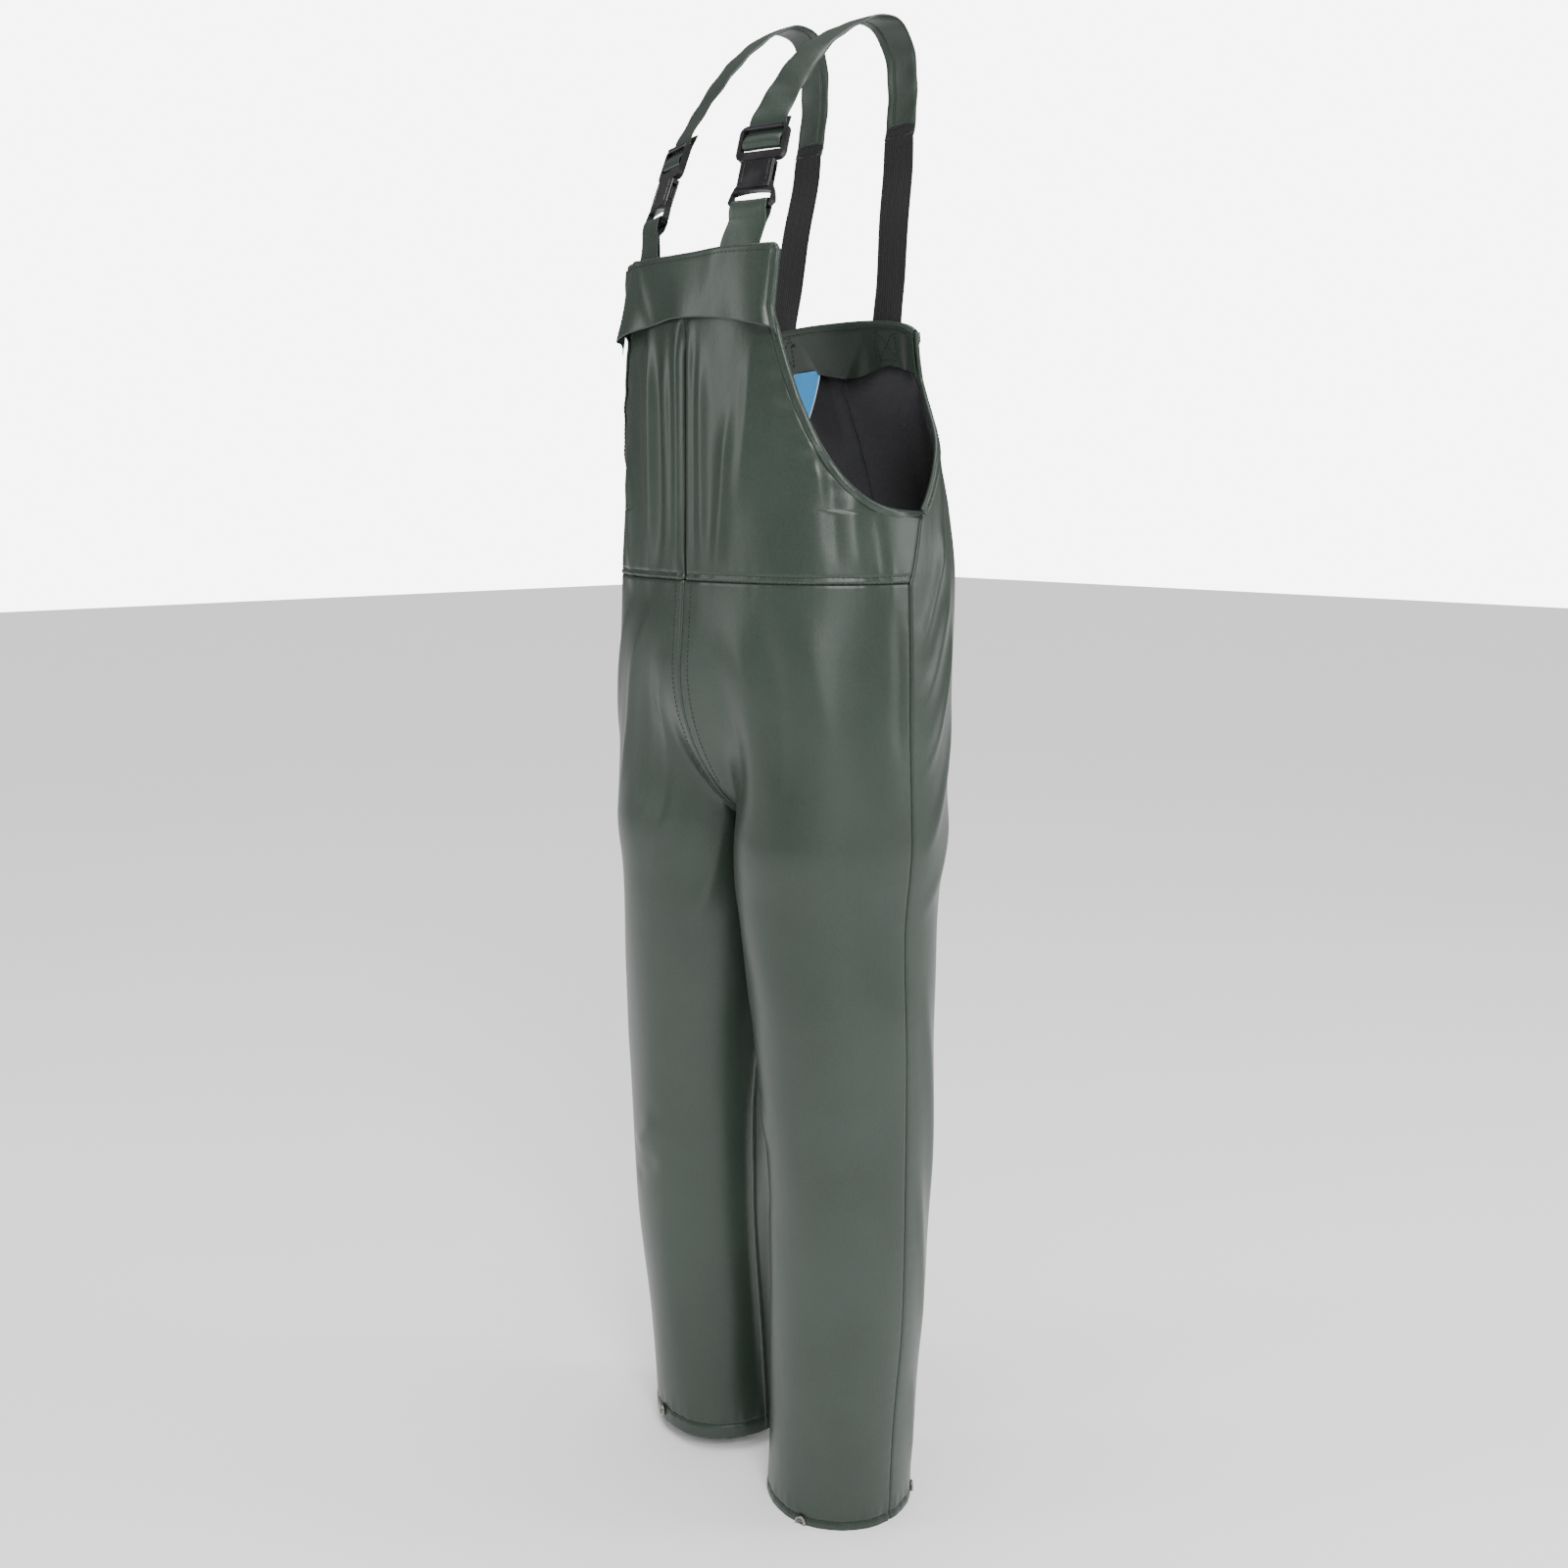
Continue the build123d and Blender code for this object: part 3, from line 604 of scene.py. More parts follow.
def softWaves(turn, z, seed):
    # a few long crossing waves, so that no stretch of cloth is dead flat
    rng = np.random.default_rng(seed)
    total = np.zeros_like(turn)
    for size, height in ((0.26, 1.3), (0.15, 0.8), (0.09, 0.35)):
        for _ in range(3):
            angle = rng.uniform(0.1, 0.8)
            phase = rng.uniform(0, 6.28)
            h = turn * clothSpan
            bend = 0.4 * np.sin((h - z) * 2 * math.pi / (size * 2.3) + phase)
            total += height / 2000 * np.sin((h * math.cos(angle) + z * math.sin(angle)) * 2 * math.pi / size
                                            + phase + bend)
    return total


def seamLift(distance, lengthAlong, seed, depth=1.1, pucker=0.30):
    # cloth dips into a seam and puckers beside it; distance and lengthAlong are in metres
    rng = np.random.default_rng(seed)
    waves = np.zeros_like(distance)
    for size in (0.013, 0.021, 0.037):
        waves += np.sin(lengthAlong * 2 * math.pi / size + rng.uniform(0, 6.28)
                        + 1.3 * np.sin(lengthAlong * 2 * math.pi / (size * 3.7)))
    dip = -depth / 1000 * np.exp(-(distance / 0.0014) ** 2)
    return dip + pucker / 3000 * waves * np.exp(-distance / 0.010)


def garmentLift(turn, z, side):
    # every fold and wave, calm near the front and back middles and inseams where the halves meet
    folds = leftFolds if side > 0 else rightFolds
    calm = smoothStep(np.minimum(turn, 2 - turn) / 0.06)
    return calm * (foldLift(turn, z, folds) + softWaves(turn, z, 11 if side > 0 else 23))


def clusteredShares(count):
    # shares from 0 to 1 that crowd towards both ends, where the seams are
    even = np.linspace(0, 1, count)
    return 0.45 * even + 0.55 * (0.5 - 0.5 * np.cos(math.pi * even))


panelDetail = {"across": 92, "legRows": 330, "bibRows": 170, "thickness": 0.0011, "hemWidth": 0.0075}


def makePanel(name, side, low, high, start, finish, across, rows, extra):
    # a panel runs between two seams (turns as functions of height) and is lifted by its folds and seams
    rowShares = clusteredShares(rows)
    z = (low + (high - low) * rowShares)[:, None]
    shares = clusteredShares(across)
    turn = start(z) + (finish(z) - start(z)) * shares[None, :]
    z = np.broadcast_to(z, turn.shape)
    flat = clothPoints(turn, z, 0)
    uvs = arcLengthUv(flat)
    width = uvs[:, -1:, 0]
    fromStart, fromFinish = uvs[:, :, 0], width - uvs[:, :, 0]
    lift = garmentLift(turn, z, side) + extra(turn, z, fromStart, fromFinish)
    points = clothPoints(turn, z, lift)
    points[..., 2] += hemDrop(z, side)
    normals = gridNormals(points)
    obj = gridMesh(name, points if side > 0 else mirrored(points), uvs if side > 0 else uvs[:, ::-1])
    obj.data.materials.append(cloth)
    obj.data.materials.append(lining)
    thicken(obj, panelDetail["thickness"], -1)
    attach(obj, "garment")
    area = gridArea(points)
    spanWidth, spanLength = float(width.max()), abs(high - low)
    round(max(spanWidth, 0.02) * 1.02, 3)
    round(spanLength * 1.02, 3)
    round(min(area * 0.98, spanWidth * spanLength * 1.03), 4)
    return {"object": obj, "points": points, "normals": normals, "z": z[:, 0], "width": width[:, 0],
            "shares": shares, "side": side}


def readPanel(panel, z, inFrom, finishEdge, lift):
    # points at heights z, inFrom metres in from one edge, raised by lift; the mirror half is turned over last
    rowPlace = np.interp(z, panel["z"], np.arange(len(panel["z"])))
    width = np.interp(z, panel["z"], panel["width"])
    share = inFrom / width
    if finishEdge:
        share = 1 - share
    colPlace = np.interp(share, panel["shares"], np.arange(len(panel["shares"])))
    return readGrid(panel["points"], panel["normals"], rowPlace, colPlace, lift, panel["side"])


def readGrid(points, normals, rowPlace, colPlace, lift, side=1):
    # bilinear reading of a grid at fractional rows and columns
    rows, cols = points.shape[:2]
    r = np.clip(np.floor(rowPlace).astype(int), 0, rows - 2)
    c = np.clip(np.floor(colPlace).astype(int), 0, cols - 2)
    fr, fc = (rowPlace - r)[:, None], (colPlace - c)[:, None]

    def blendOf(grid):
        low = grid[r, c] * (1 - fc) + grid[r, c + 1] * fc
        high = grid[r + 1, c] * (1 - fc) + grid[r + 1, c + 1] * fc
        return low * (1 - fr) + high * fr

    up = unit(blendOf(normals))
    place = blendOf(points) + up * lift
    flip = np.array([side, 1.0, 1.0])
    return place * flip, up * flip


def constant(value):
    return lambda z: np.full_like(np.asarray(z, float), value)


def hemExtra(turn, z):
    # the turned hem is a thicker strip that ends in a stitched line
    up = z - shape["hem"]
    step = 0.0010 * smoothStep((shape["hemDepth"] - 0.004 - up) / 0.002)
    arc = turn * 0.24
    waves = np.sin(arc * 2 * math.pi / 0.013) + np.sin(arc * 2 * math.pi / 0.031 + 1.7)
    line = np.exp(-((up - shape["hemDepth"] + 0.003) / 0.0014) ** 2)
    return step - 0.0008 * line + 0.0003 * waves * np.exp(-((up - shape["hemDepth"]) / 0.012) ** 2)


waistSeam = {"gap": 0.0062, "dip": 1.0}
rowGap = 0.0058  # from a middle seam to the row of topstitching beside it


def middleRow(distance, z, seed):
    # the dip of the topstitched row beside a middle seam, faded out towards the crotch
    fade = smoothStep((z - shape["crotch"] - 0.03) / 0.05)
    return seamLift(np.abs(distance - rowGap), z, seed, 0.5, 0.2) * fade


def waistExtra(turn, z):
    # the waist seam and the row of topstitching above it, with a flat raised band between them
    seam = seamLift(np.abs(z - shape["waist"]), turn * clothSpan, 9, waistSeam["dip"], 0.35)
    above = z - shape["waist"] - waistSeam["gap"]
    row = seamLift(np.abs(above), turn * clothSpan, 10, 0.6, 0.25)
    band = 0.0006 * smoothStep((above + 0.003) / -0.001 + 1) * smoothStep((z - shape["waist"]) / 0.001)
    return seam + row + band


def legExtra(turn, z, fromStart, fromFinish):
    # the middle-front seam has a row of topstitching beside it; the side seam only dips
    row = middleRow(fromStart, z, 21)
    return (hemExtra(turn, z) + waistExtra(turn, z) + seamLift(fromStart, z, 3, 1.1, 0.22)
            + seamLift(fromFinish, z, 4, 1.2, 0.25) + row)


def bibExtra(turn, z, fromStart, fromFinish):
    # the middle pleat is a deep fold with raised flanks; the armhole edge is a narrow turned hem
    pleat = smoothStep((-0.28 - z) / 0.05)
    ends = smoothStep((z - shape["waist"]) / 0.03) * 0.6 + 0.4
    fold = pleat * ends * (-0.009 * np.exp(-(fromStart / 0.0036) ** 2)
                           + 0.0026 * np.exp(-((fromStart - 0.010) / 0.006) ** 2))
    above = smoothStep((z - shape["armhole"] + 0.004) / 0.012)
    line = np.exp(-((fromFinish - panelDetail["hemWidth"]) / 0.0012) ** 2) * above
    ripple = np.sin(z * 2 * math.pi / 0.023) + np.sin(z * 2 * math.pi / 0.037 + 0.6)
    tension = 0.00045 * ripple * above * np.exp(-((fromFinish - 0.012) / 0.012) ** 2)
    seam = seamLift(fromFinish, z, 4, 1.2, 0.25) * (1 - above)
    return waistExtra(turn, z) + fold + seam - 0.0006 * line + tension


def backExtra(turn, z, fromStart, fromFinish):
    above = smoothStep((z - shape["armhole"] + 0.004) / 0.012)
    line = np.exp(-((fromStart - panelDetail["hemWidth"]) / 0.0012) ** 2) * above
    seam = seamLift(fromStart, z, 4, 1.2, 0.25) * (1 - above)
    row = middleRow(fromFinish, z, 22)
    return hemExtra(turn, z) + seam + seamLift(fromFinish, z, 3, 1.1, 0.22) + row - 0.0006 * line


panels = {}
for side, word in ((1, "left"), (-1, "right")):
    across, rows = panelDetail["across"], panelDetail["legRows"]
    front = makePanel(word + "LegFront", side, shape["hem"], shape["waist"], constant(0), sideTurn, across,
                      rows, legExtra)
    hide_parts(word + "_leg_front")
    back = makePanel(word + "BackPanel", side, shape["hem"], shape["bandTop"], backTurn, constant(2), across,
                     rows + 60, backExtra)
    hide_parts(word + "_back_panel")
    bib = makePanel(word + "BibPanel", side, shape["waist"], shape["bibTop"] - 0.009, constant(0), bibTurn,
                    across, panelDetail["bibRows"], bibExtra)
    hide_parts(word + "_bib_panel")
    panels[word] = {"front": front, "back": back, "bib": bib}
print("panels ready")


def sewnPiece(obj, material, node, thickness):
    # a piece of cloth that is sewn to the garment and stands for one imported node
    obj.data.materials.append(material)
    thicken(obj, thickness, 0, 0)
    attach(obj, "garment")
    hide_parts(node)


# Bib top: one piece of cloth that hangs as a flap in front, folds over the bib's top edge and lines it behind
flap = {"bottomArch": 0.012, "rise": 0.0006, "lower": 0.0042, "corner": 0.008, "thickness": 0.0010,
        "profile": ((0.0050, -0.062), (0.0042, -0.045), (0.0030, -0.022), (0.0024, -0.006), (0.0012, -0.0008),
                    (-0.0014, 0.0), (-0.0036, -0.0012), (-0.0042, -0.007), (-0.0042, -0.018),
                    (-0.0042, -0.030))}


def cornerDrop(distance, radius):
    # a quarter circle that takes the top edge down at each end
    inside = np.clip(radius - distance, 0, radius)
    return radius - np.sqrt(radius**2 - inside**2)


def makeFlap():
    # columns run from the wearer's right edge to the left; rows follow the profile of (lift, drop)
    share = np.linspace(-1, 1, 171)
    side = np.sign(share + 1e-9)
    edge = float(bibTurn(np.array(shape["bibTop"])))
    turn = np.abs(share) * edge
    x = clothPoints(turn, shape["bibTop"], 0)[:, 0] * side
    fromEdge = (1 - np.abs(share)) * x.max()
    rise = flap["rise"] * (smoothStep((np.abs(x) - 0.012) / 0.045) * 2 - 1)
    top = shape["bibTop"] - flap["lower"] + rise - cornerDrop(fromEdge, flap["corner"])
    rows = splineThrough(np.array([(a, b, 0) for a, b in flap["profile"]]), 64)
    offset, drop = rows[:, :1], rows[:, 1:2]
    outside = (np.arange(64)[:, None] < np.argmax(rows[:, 1])).astype(float)
    hang = np.clip(-drop / 0.062, 0, 1) * outside
    # the flap's lower edge: an arch that is lowest at both ends, a little lower on the wearer's right
    arch = flap["bottomArch"] * (np.abs(x) / 0.1) ** 2.2 + 0.002 * smoothStep(-x / 0.1)
    z = top + drop - hang * (arch - 0.004 + rise)
    turns = np.abs(share) * bibTurn(np.minimum(z, shape["bibTop"]))
    caught = 1 - 0.72 * smoothStep((np.abs(share) - 0.86) / 0.14)
    waves = (0.0022 * np.sin(x / 0.030 * 1.9 + 0.8) + 0.0014 * np.sin(x / 0.013 + 2.0)) * hang**1.4
    bow = 0.007 * hang**1.5 * smoothStep((-x - 0.045) / 0.05)
    creases = (0.0016 * np.exp(-((x + 0.083 - 0.35 * (z + 0.25)) / 0.006) ** 2)
               + 0.0018 * np.exp(-((x + 0.066 + 0.45 * (z + 0.25)) / 0.007) ** 2)
               + 0.0010 * np.exp(-((x - 0.045 - 0.25 * (z + 0.25)) / 0.012) ** 2))
    creases = creases * outside * (1 - 0.6 * hang)
    lift = offset * np.where(offset > 0, caught, 1) + (waves + bow) * (0.35 + 0.65 * caught) + creases
    stitchDip = 0.0006 * np.exp(-((drop + 0.0052) / 0.0011) ** 2) * outside
    endDip = 0.0005 * np.exp(-((fromEdge - 0.0062) / 0.0011) ** 2)
    points = clothPoints(turns, z, lift + 0.0012 * outside - stitchDip - endDip, side)
    uvs = arcLengthUv(points)
    obj = gridMesh("bibFlap", points, uvs)
    sewnPiece(obj, cloth, "bib_flap", flap["thickness"])
    return {"points": points, "normals": gridNormals(points), "drop": rows[:, 1], "x": x,
            "top": int(np.argmax(rows[:, 1]))}


bibFlap = makeFlap()

# Bib lining behind the panels, from below the flap's facing to the chest
backing = {"top": -0.240, "inward": 0.0042, "thickness": 0.0008, "margin": 0.030}


def makeBacking():
    # a level grid across both halves, just inside the bib panels
    share = np.linspace(-1, 1, 101)[None, :]
    z = np.linspace(shape["backingBottom"], backing["top"], 90)[:, None]
    turn = np.abs(share) * (bibTurn(z) - backing["margin"])
    z = np.broadcast_to(z, turn.shape)
    side = np.sign(share + 1e-9)
    sway = 0.0006 * np.sin(share * 9 + z * 40)
    pleatRoom = 0.0085 * np.exp(-(share / 0.10) ** 2) * smoothStep((-0.27 - z) / 0.05)
    halves = np.broadcast_to(side, turn.shape)
    folds = np.where(halves > 0, garmentLift(turn, z, 1), garmentLift(turn, z, -1))
    points = clothPoints(turn, z, np.minimum(folds, 0) - backing["inward"] - pleatRoom + sway, side)
    obj = gridMesh("bibBacking", points, arcLengthUv(points))
    sewnPiece(obj, lining, "bib_backing", backing["thickness"])
    area = round(min(gridArea(points), 0.059), 4)


makeBacking()

# Back band: a folded strip that covers the top edge of the back, stitched along its top and ends, loose below
band = {"box": 0.067, "reach": 0.145, "thickness": 0.0010,
        "profile": ((0.0016, -0.0085), (0.0015, -0.0030), (0.0002, 0.0008), (-0.0022, 0.0010),
                    (-0.0040, -0.0020), (-0.0042, -0.0100), (-0.0044, -0.0280), (-0.0046, -0.0440))}


def makeBand():
    # columns run from the wearer's left end round the back to the right end
    share = np.linspace(1, -1, 221)
    side = np.sign(share + 1e-9)
    rows = splineThrough(np.array([(a, b, 0) for a, b in band["profile"]]), 46)
    offset, drop = rows[:, :1], rows[:, 1:2]
    inside = (np.arange(46)[:, None] > np.argmax(rows[:, 1])).astype(float)
    hang = np.clip(-drop / 0.044, 0, 1) * inside
    arc = np.abs(share) * band["reach"] * side
    low = 0.004 * np.sin(arc * 34 + 1.1) + 0.003 * np.sin(arc * 71 + 0.4)
    low = low + 0.004 * smoothStep((np.abs(share) - 0.8) / 0.2)
    z = shape["bandTop"] + 0.0006 + drop - low * hang
    turns = 2 - (2 - backTurn(np.minimum(z, shape["bandTop"]))) * np.abs(share)
    free = 1 - smoothStep((np.abs(share) - 0.80) / 0.18) * 0.9
    boxed = 1 - 0.88 * np.exp(-((np.abs(arc) - band["box"]) / 0.024) ** 4)
    waves = (0.0042 * (0.5 + 0.5 * np.sin(arc * 46 + 0.5)) + 0.0022 * (0.5 + 0.5 * np.sin(arc * 93 + 2.1)))
    creases = 0.0016 * np.exp(-((np.abs(arc) - 0.026 - 0.6 * (z + 0.31)) / 0.006) ** 2)
    lift = offset - (waves * hang**0.8 * free * boxed) - creases * inside * hang * boxed
    stitchDip = 0.0005 * np.exp(-((drop + 0.0050) / 0.0011) ** 2) * inside
    points = clothPoints(turns, z, lift + stitchDip, side)
    obj = gridMesh("backBand", points, arcLengthUv(points))
    sewnPiece(obj, cloth, "back_band", band["thickness"])
    return {"points": points, "normals": gridNormals(points), "drop": rows[:, 1], "arc": arc,
            "top": int(np.argmax(rows[:, 1]))}


backBand = makeBand()


def makeLabelPiece():
    # a flat ribbon that hangs from the band, leans a little and curls out at its free end
    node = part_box("care_label")
    middleX = (node[0][0] + node[1][0]) / 2
    across = np.linspace(-0.5, 0.5, 21)[None, :] * label["width"]
    down = np.linspace(0, 1, 33)[:, None] * label["length"]
    x = middleX + across - label["lean"] * down - 1.6 * down**2
    z = node[1][2] + 0.002 - down + 0.06 * across
    cupped = 0.0016 * np.cos(across / label["width"] * math.pi)
    y = node[1][1] - 0.0015 - 1.5 * down**2 - cupped + 0.05 * across
    points = np.stack(np.broadcast_arrays(x, y, z), axis=-1)[::-1]
    obj = gridMesh("careLabel", points, arcLengthUv(points))
    sewnPiece(obj, labelFinish, "care_label", 0.0004)


makeLabelPiece()
print("bib top, band and label ready")


# Armhole binding: a narrow strip folded over the cut edge, made from a U-shaped profile carried along it
binding = {"profile": ((-0.0062, 0.0009), (-0.0035, 0.0013), (-0.0010, 0.0014), (0.0008, 0.0004),
                       (0.0010, -0.0010), (-0.0002, -0.0024), (-0.0030, -0.0026), (-0.0060, -0.0024)),
           "thickness": 0.0008}


def makeBinding(word, panelName, finishEdge, name, node, over):
    # profile points are (outwards from the edge, outwards from the cloth)
    panel = panels[word][panelName]
    use = panel["z"] > shape["armhole"] - 0.002
    column = -1 if finishEdge else 0
    inner = -6 if finishEdge else 5
    edge = panel["points"][use][:, column]
    up = panel["normals"][use][:, column]
    ahead = unit(np.gradient(edge, axis=0))
    away = edge - panel["points"][use][:, inner]
    away = unit(away - ahead * (away * ahead).sum(axis=1, keepdims=True))
    up = unit(np.cross(ahead, away)) * np.sign((np.cross(ahead, away) * up).sum(axis=1, keepdims=True))
    profile = splineThrough(np.array([(a, b, 0) for a, b in binding["profile"]]), 26)
    extra = over(panel["z"][use])[:, None] * (profile[None, :, 1] > 0)
    points = (edge[:, None] + away[:, None] * profile[None, :, :1]
              + up[:, None] * (profile[None, :, 1] + extra)[..., None])
    facing = np.cross(np.gradient(points, axis=1), np.gradient(points, axis=0))[:, 3]
    if (facing * up).sum() < 0:
        points = points[:, ::-1]
    obj = gridMesh(name, points if panel["side"] > 0 else mirrored(points))
    sewnPiece(obj, cloth, node, binding["thickness"])


def overFlap(z):
    return 0.0026 * smoothStep((z + 0.302) / 0.008)


def overBand(z):
    return 0.0018 * smoothStep((z - shape["bandTop"] + 0.012) / 0.004)


# Leg hem: the strip turned up inside the leg end, rounded over at the bottom
hem = {"profile": ((-0.0003, -0.0002), (-0.0011, -0.0008), (-0.0022, -0.0002), (-0.0026, 0.0030),
                   (-0.0027, 0.0180)), "thickness": 0.0009}


def makeHem(word, side):
    # a closed ring round the leg; rows follow the profile of (lift, height above the hem)
    rows = splineThrough(np.array([(a, b, 0) for a, b in hem["profile"]]), 24)
    turn = np.linspace(0, 2, 181)[None, :]
    lift = rows[:, :1] + 0.0002 * np.sin(turn * 60)
    points = clothPoints(turn, shape["hem"] + rows[:, 1:2], lift)
    points[..., 2] += hemDrop(points[..., 2], side)
    obj = gridMesh(word + "LegHem", points if side > 0 else mirrored(points))
    sewnPiece(obj, cloth, word + "_leg_hem", hem["thickness"])
    word + "_leg_front"
    word + "_back_panel"


for side, word in ((1, "left"), (-1, "right")):
    makeBinding(word, "bib", True, word + "FrontArmholeBinding", word + "_front_armhole_tape", overFlap)
    makeBinding(word, "back", False, word + "BackArmholeBinding", word + "_back_armhole_tape", overBand)
    makeHem(word, side)
print("bindings and hems ready")


# Buckle frame of reference, on the wearer's left: across the webbing, up along the brace, out from the chest
buckle = {"centre": (0.0665, -0.165, -0.167), "yaw": 16, "tilt": 20}
yaw, tilt = math.radians(buckle["yaw"]), math.radians(buckle["tilt"])
wide = np.array([math.cos(yaw), math.sin(yaw), 0])
upBrace = np.array([-math.sin(tilt) * wide[1], math.sin(tilt) * wide[0], math.cos(tilt)])
outBuckle = np.cross(wide, upBrace)


def atBuckle(x, y, z):
    # a place given in millimetres in the buckle's frame
    return np.array(buckle["centre"]) + (wide * x + upBrace * y + outBuckle * z) / 1000


# Braces: stations in millimetres, each (x, y, z, turn of the width in degrees)
web = {"width": 0.040, "strapThickness": 0.0026, "plyThickness": 0.0013, "elasticThickness": 0.0017}
strapPath = [(64, 16, -112, 0), (63.5, 19, -98, 0), (62, 22, -70, 0), (60, 19.5, -30, 0), (58.5, 8, -5, 2),
             (58, -10, 2.2, 3), (58, -38, -5.5, 5), (58.5, -75, -31.5, 8), (59.5, -108, -66, 12)]
strapEnd = [(54, -1.6), (47, -1.5), (41, -0.6), (36, 1.8), (31, 3.5), (27.5, 3.6), (25.2, 2.4), (24.4, 0.2),
            (25.2, -2.2), (28, -3.5), (33, -4.2), (41, -4.8), (50, -5.4), (57, -6.4)]
loopPath = [("in", -0.262, 0.0052), ("in", -0.245, 0.0052), ("in", -0.231, 0.0056), (-46, 1.5), (-39, 3.7),
            (-33, 4.5), (-29, 4.2), (-26.6, 2.6), (-25.7, 0), (-26.6, -2.6), (-29, -4.2), (-33, -4.5),
            (-39, -3.9), (-46, -1.4), ("in", -0.231, 0.0080), ("in", -0.245, 0.0072), ("in", -0.262, 0.0068)]
loopTurn = 0.2176  # where round the bib the loop is sewn, as a turn


def carried(path, yaws, section):
    # a closed section of (across, outwards) carried along a path, with its width turned by the yaw angles
    ahead = unit(np.gradient(path, axis=0))
    width = np.stack([np.cos(np.radians(yaws)), np.sin(np.radians(yaws)), np.zeros(len(path))], axis=-1)
    width = unit(width - ahead * (width * ahead).sum(axis=1, keepdims=True))
    outwards = np.cross(ahead, width)
    points = path[:, None] + width[:, None] * section[..., :1] + outwards[:, None] * section[..., 1:2]
    return points, width, outwards


def strapSection(width, thickness, across, edge):
    # a flat bar whose height falls to nothing at both edges; its points are spread evenly across the width
    flat = np.linspace(-1, 1, across)
    reach = width / 2 * (flat + 0.03 * np.sin(flat * math.pi))
    body = thickness / 2 * (1 - np.abs(flat) ** edge) ** 0.5
    top = np.stack([reach, body], axis=-1)
    bottom = np.stack([reach, -body], axis=-1)[1:-1]
    return np.concatenate([bottom, top[::-1]])


def tubePiece(name, path, yaws, sections, side, material):
    points, width, outwards = carried(path, yaws, sections)
    around = np.concatenate([np.zeros((len(points), 1)),
                             np.cumsum(np.linalg.norm(np.diff(points, axis=1), axis=2), axis=1)], axis=1)
    walked = np.concatenate([[0], np.cumsum(np.linalg.norm(np.diff(path, axis=0), axis=1))])
    uvs = np.stack([around, np.broadcast_to(walked[:, None], around.shape)], axis=-1)
    if side < 0:
        points, uvs = mirrored(points), uvs[:, ::-1]
    obj = gridMesh(name, points, uvs, ring=True)
    obj.data.materials.append(material)
    return obj, width, outwards, float(walked[-1])


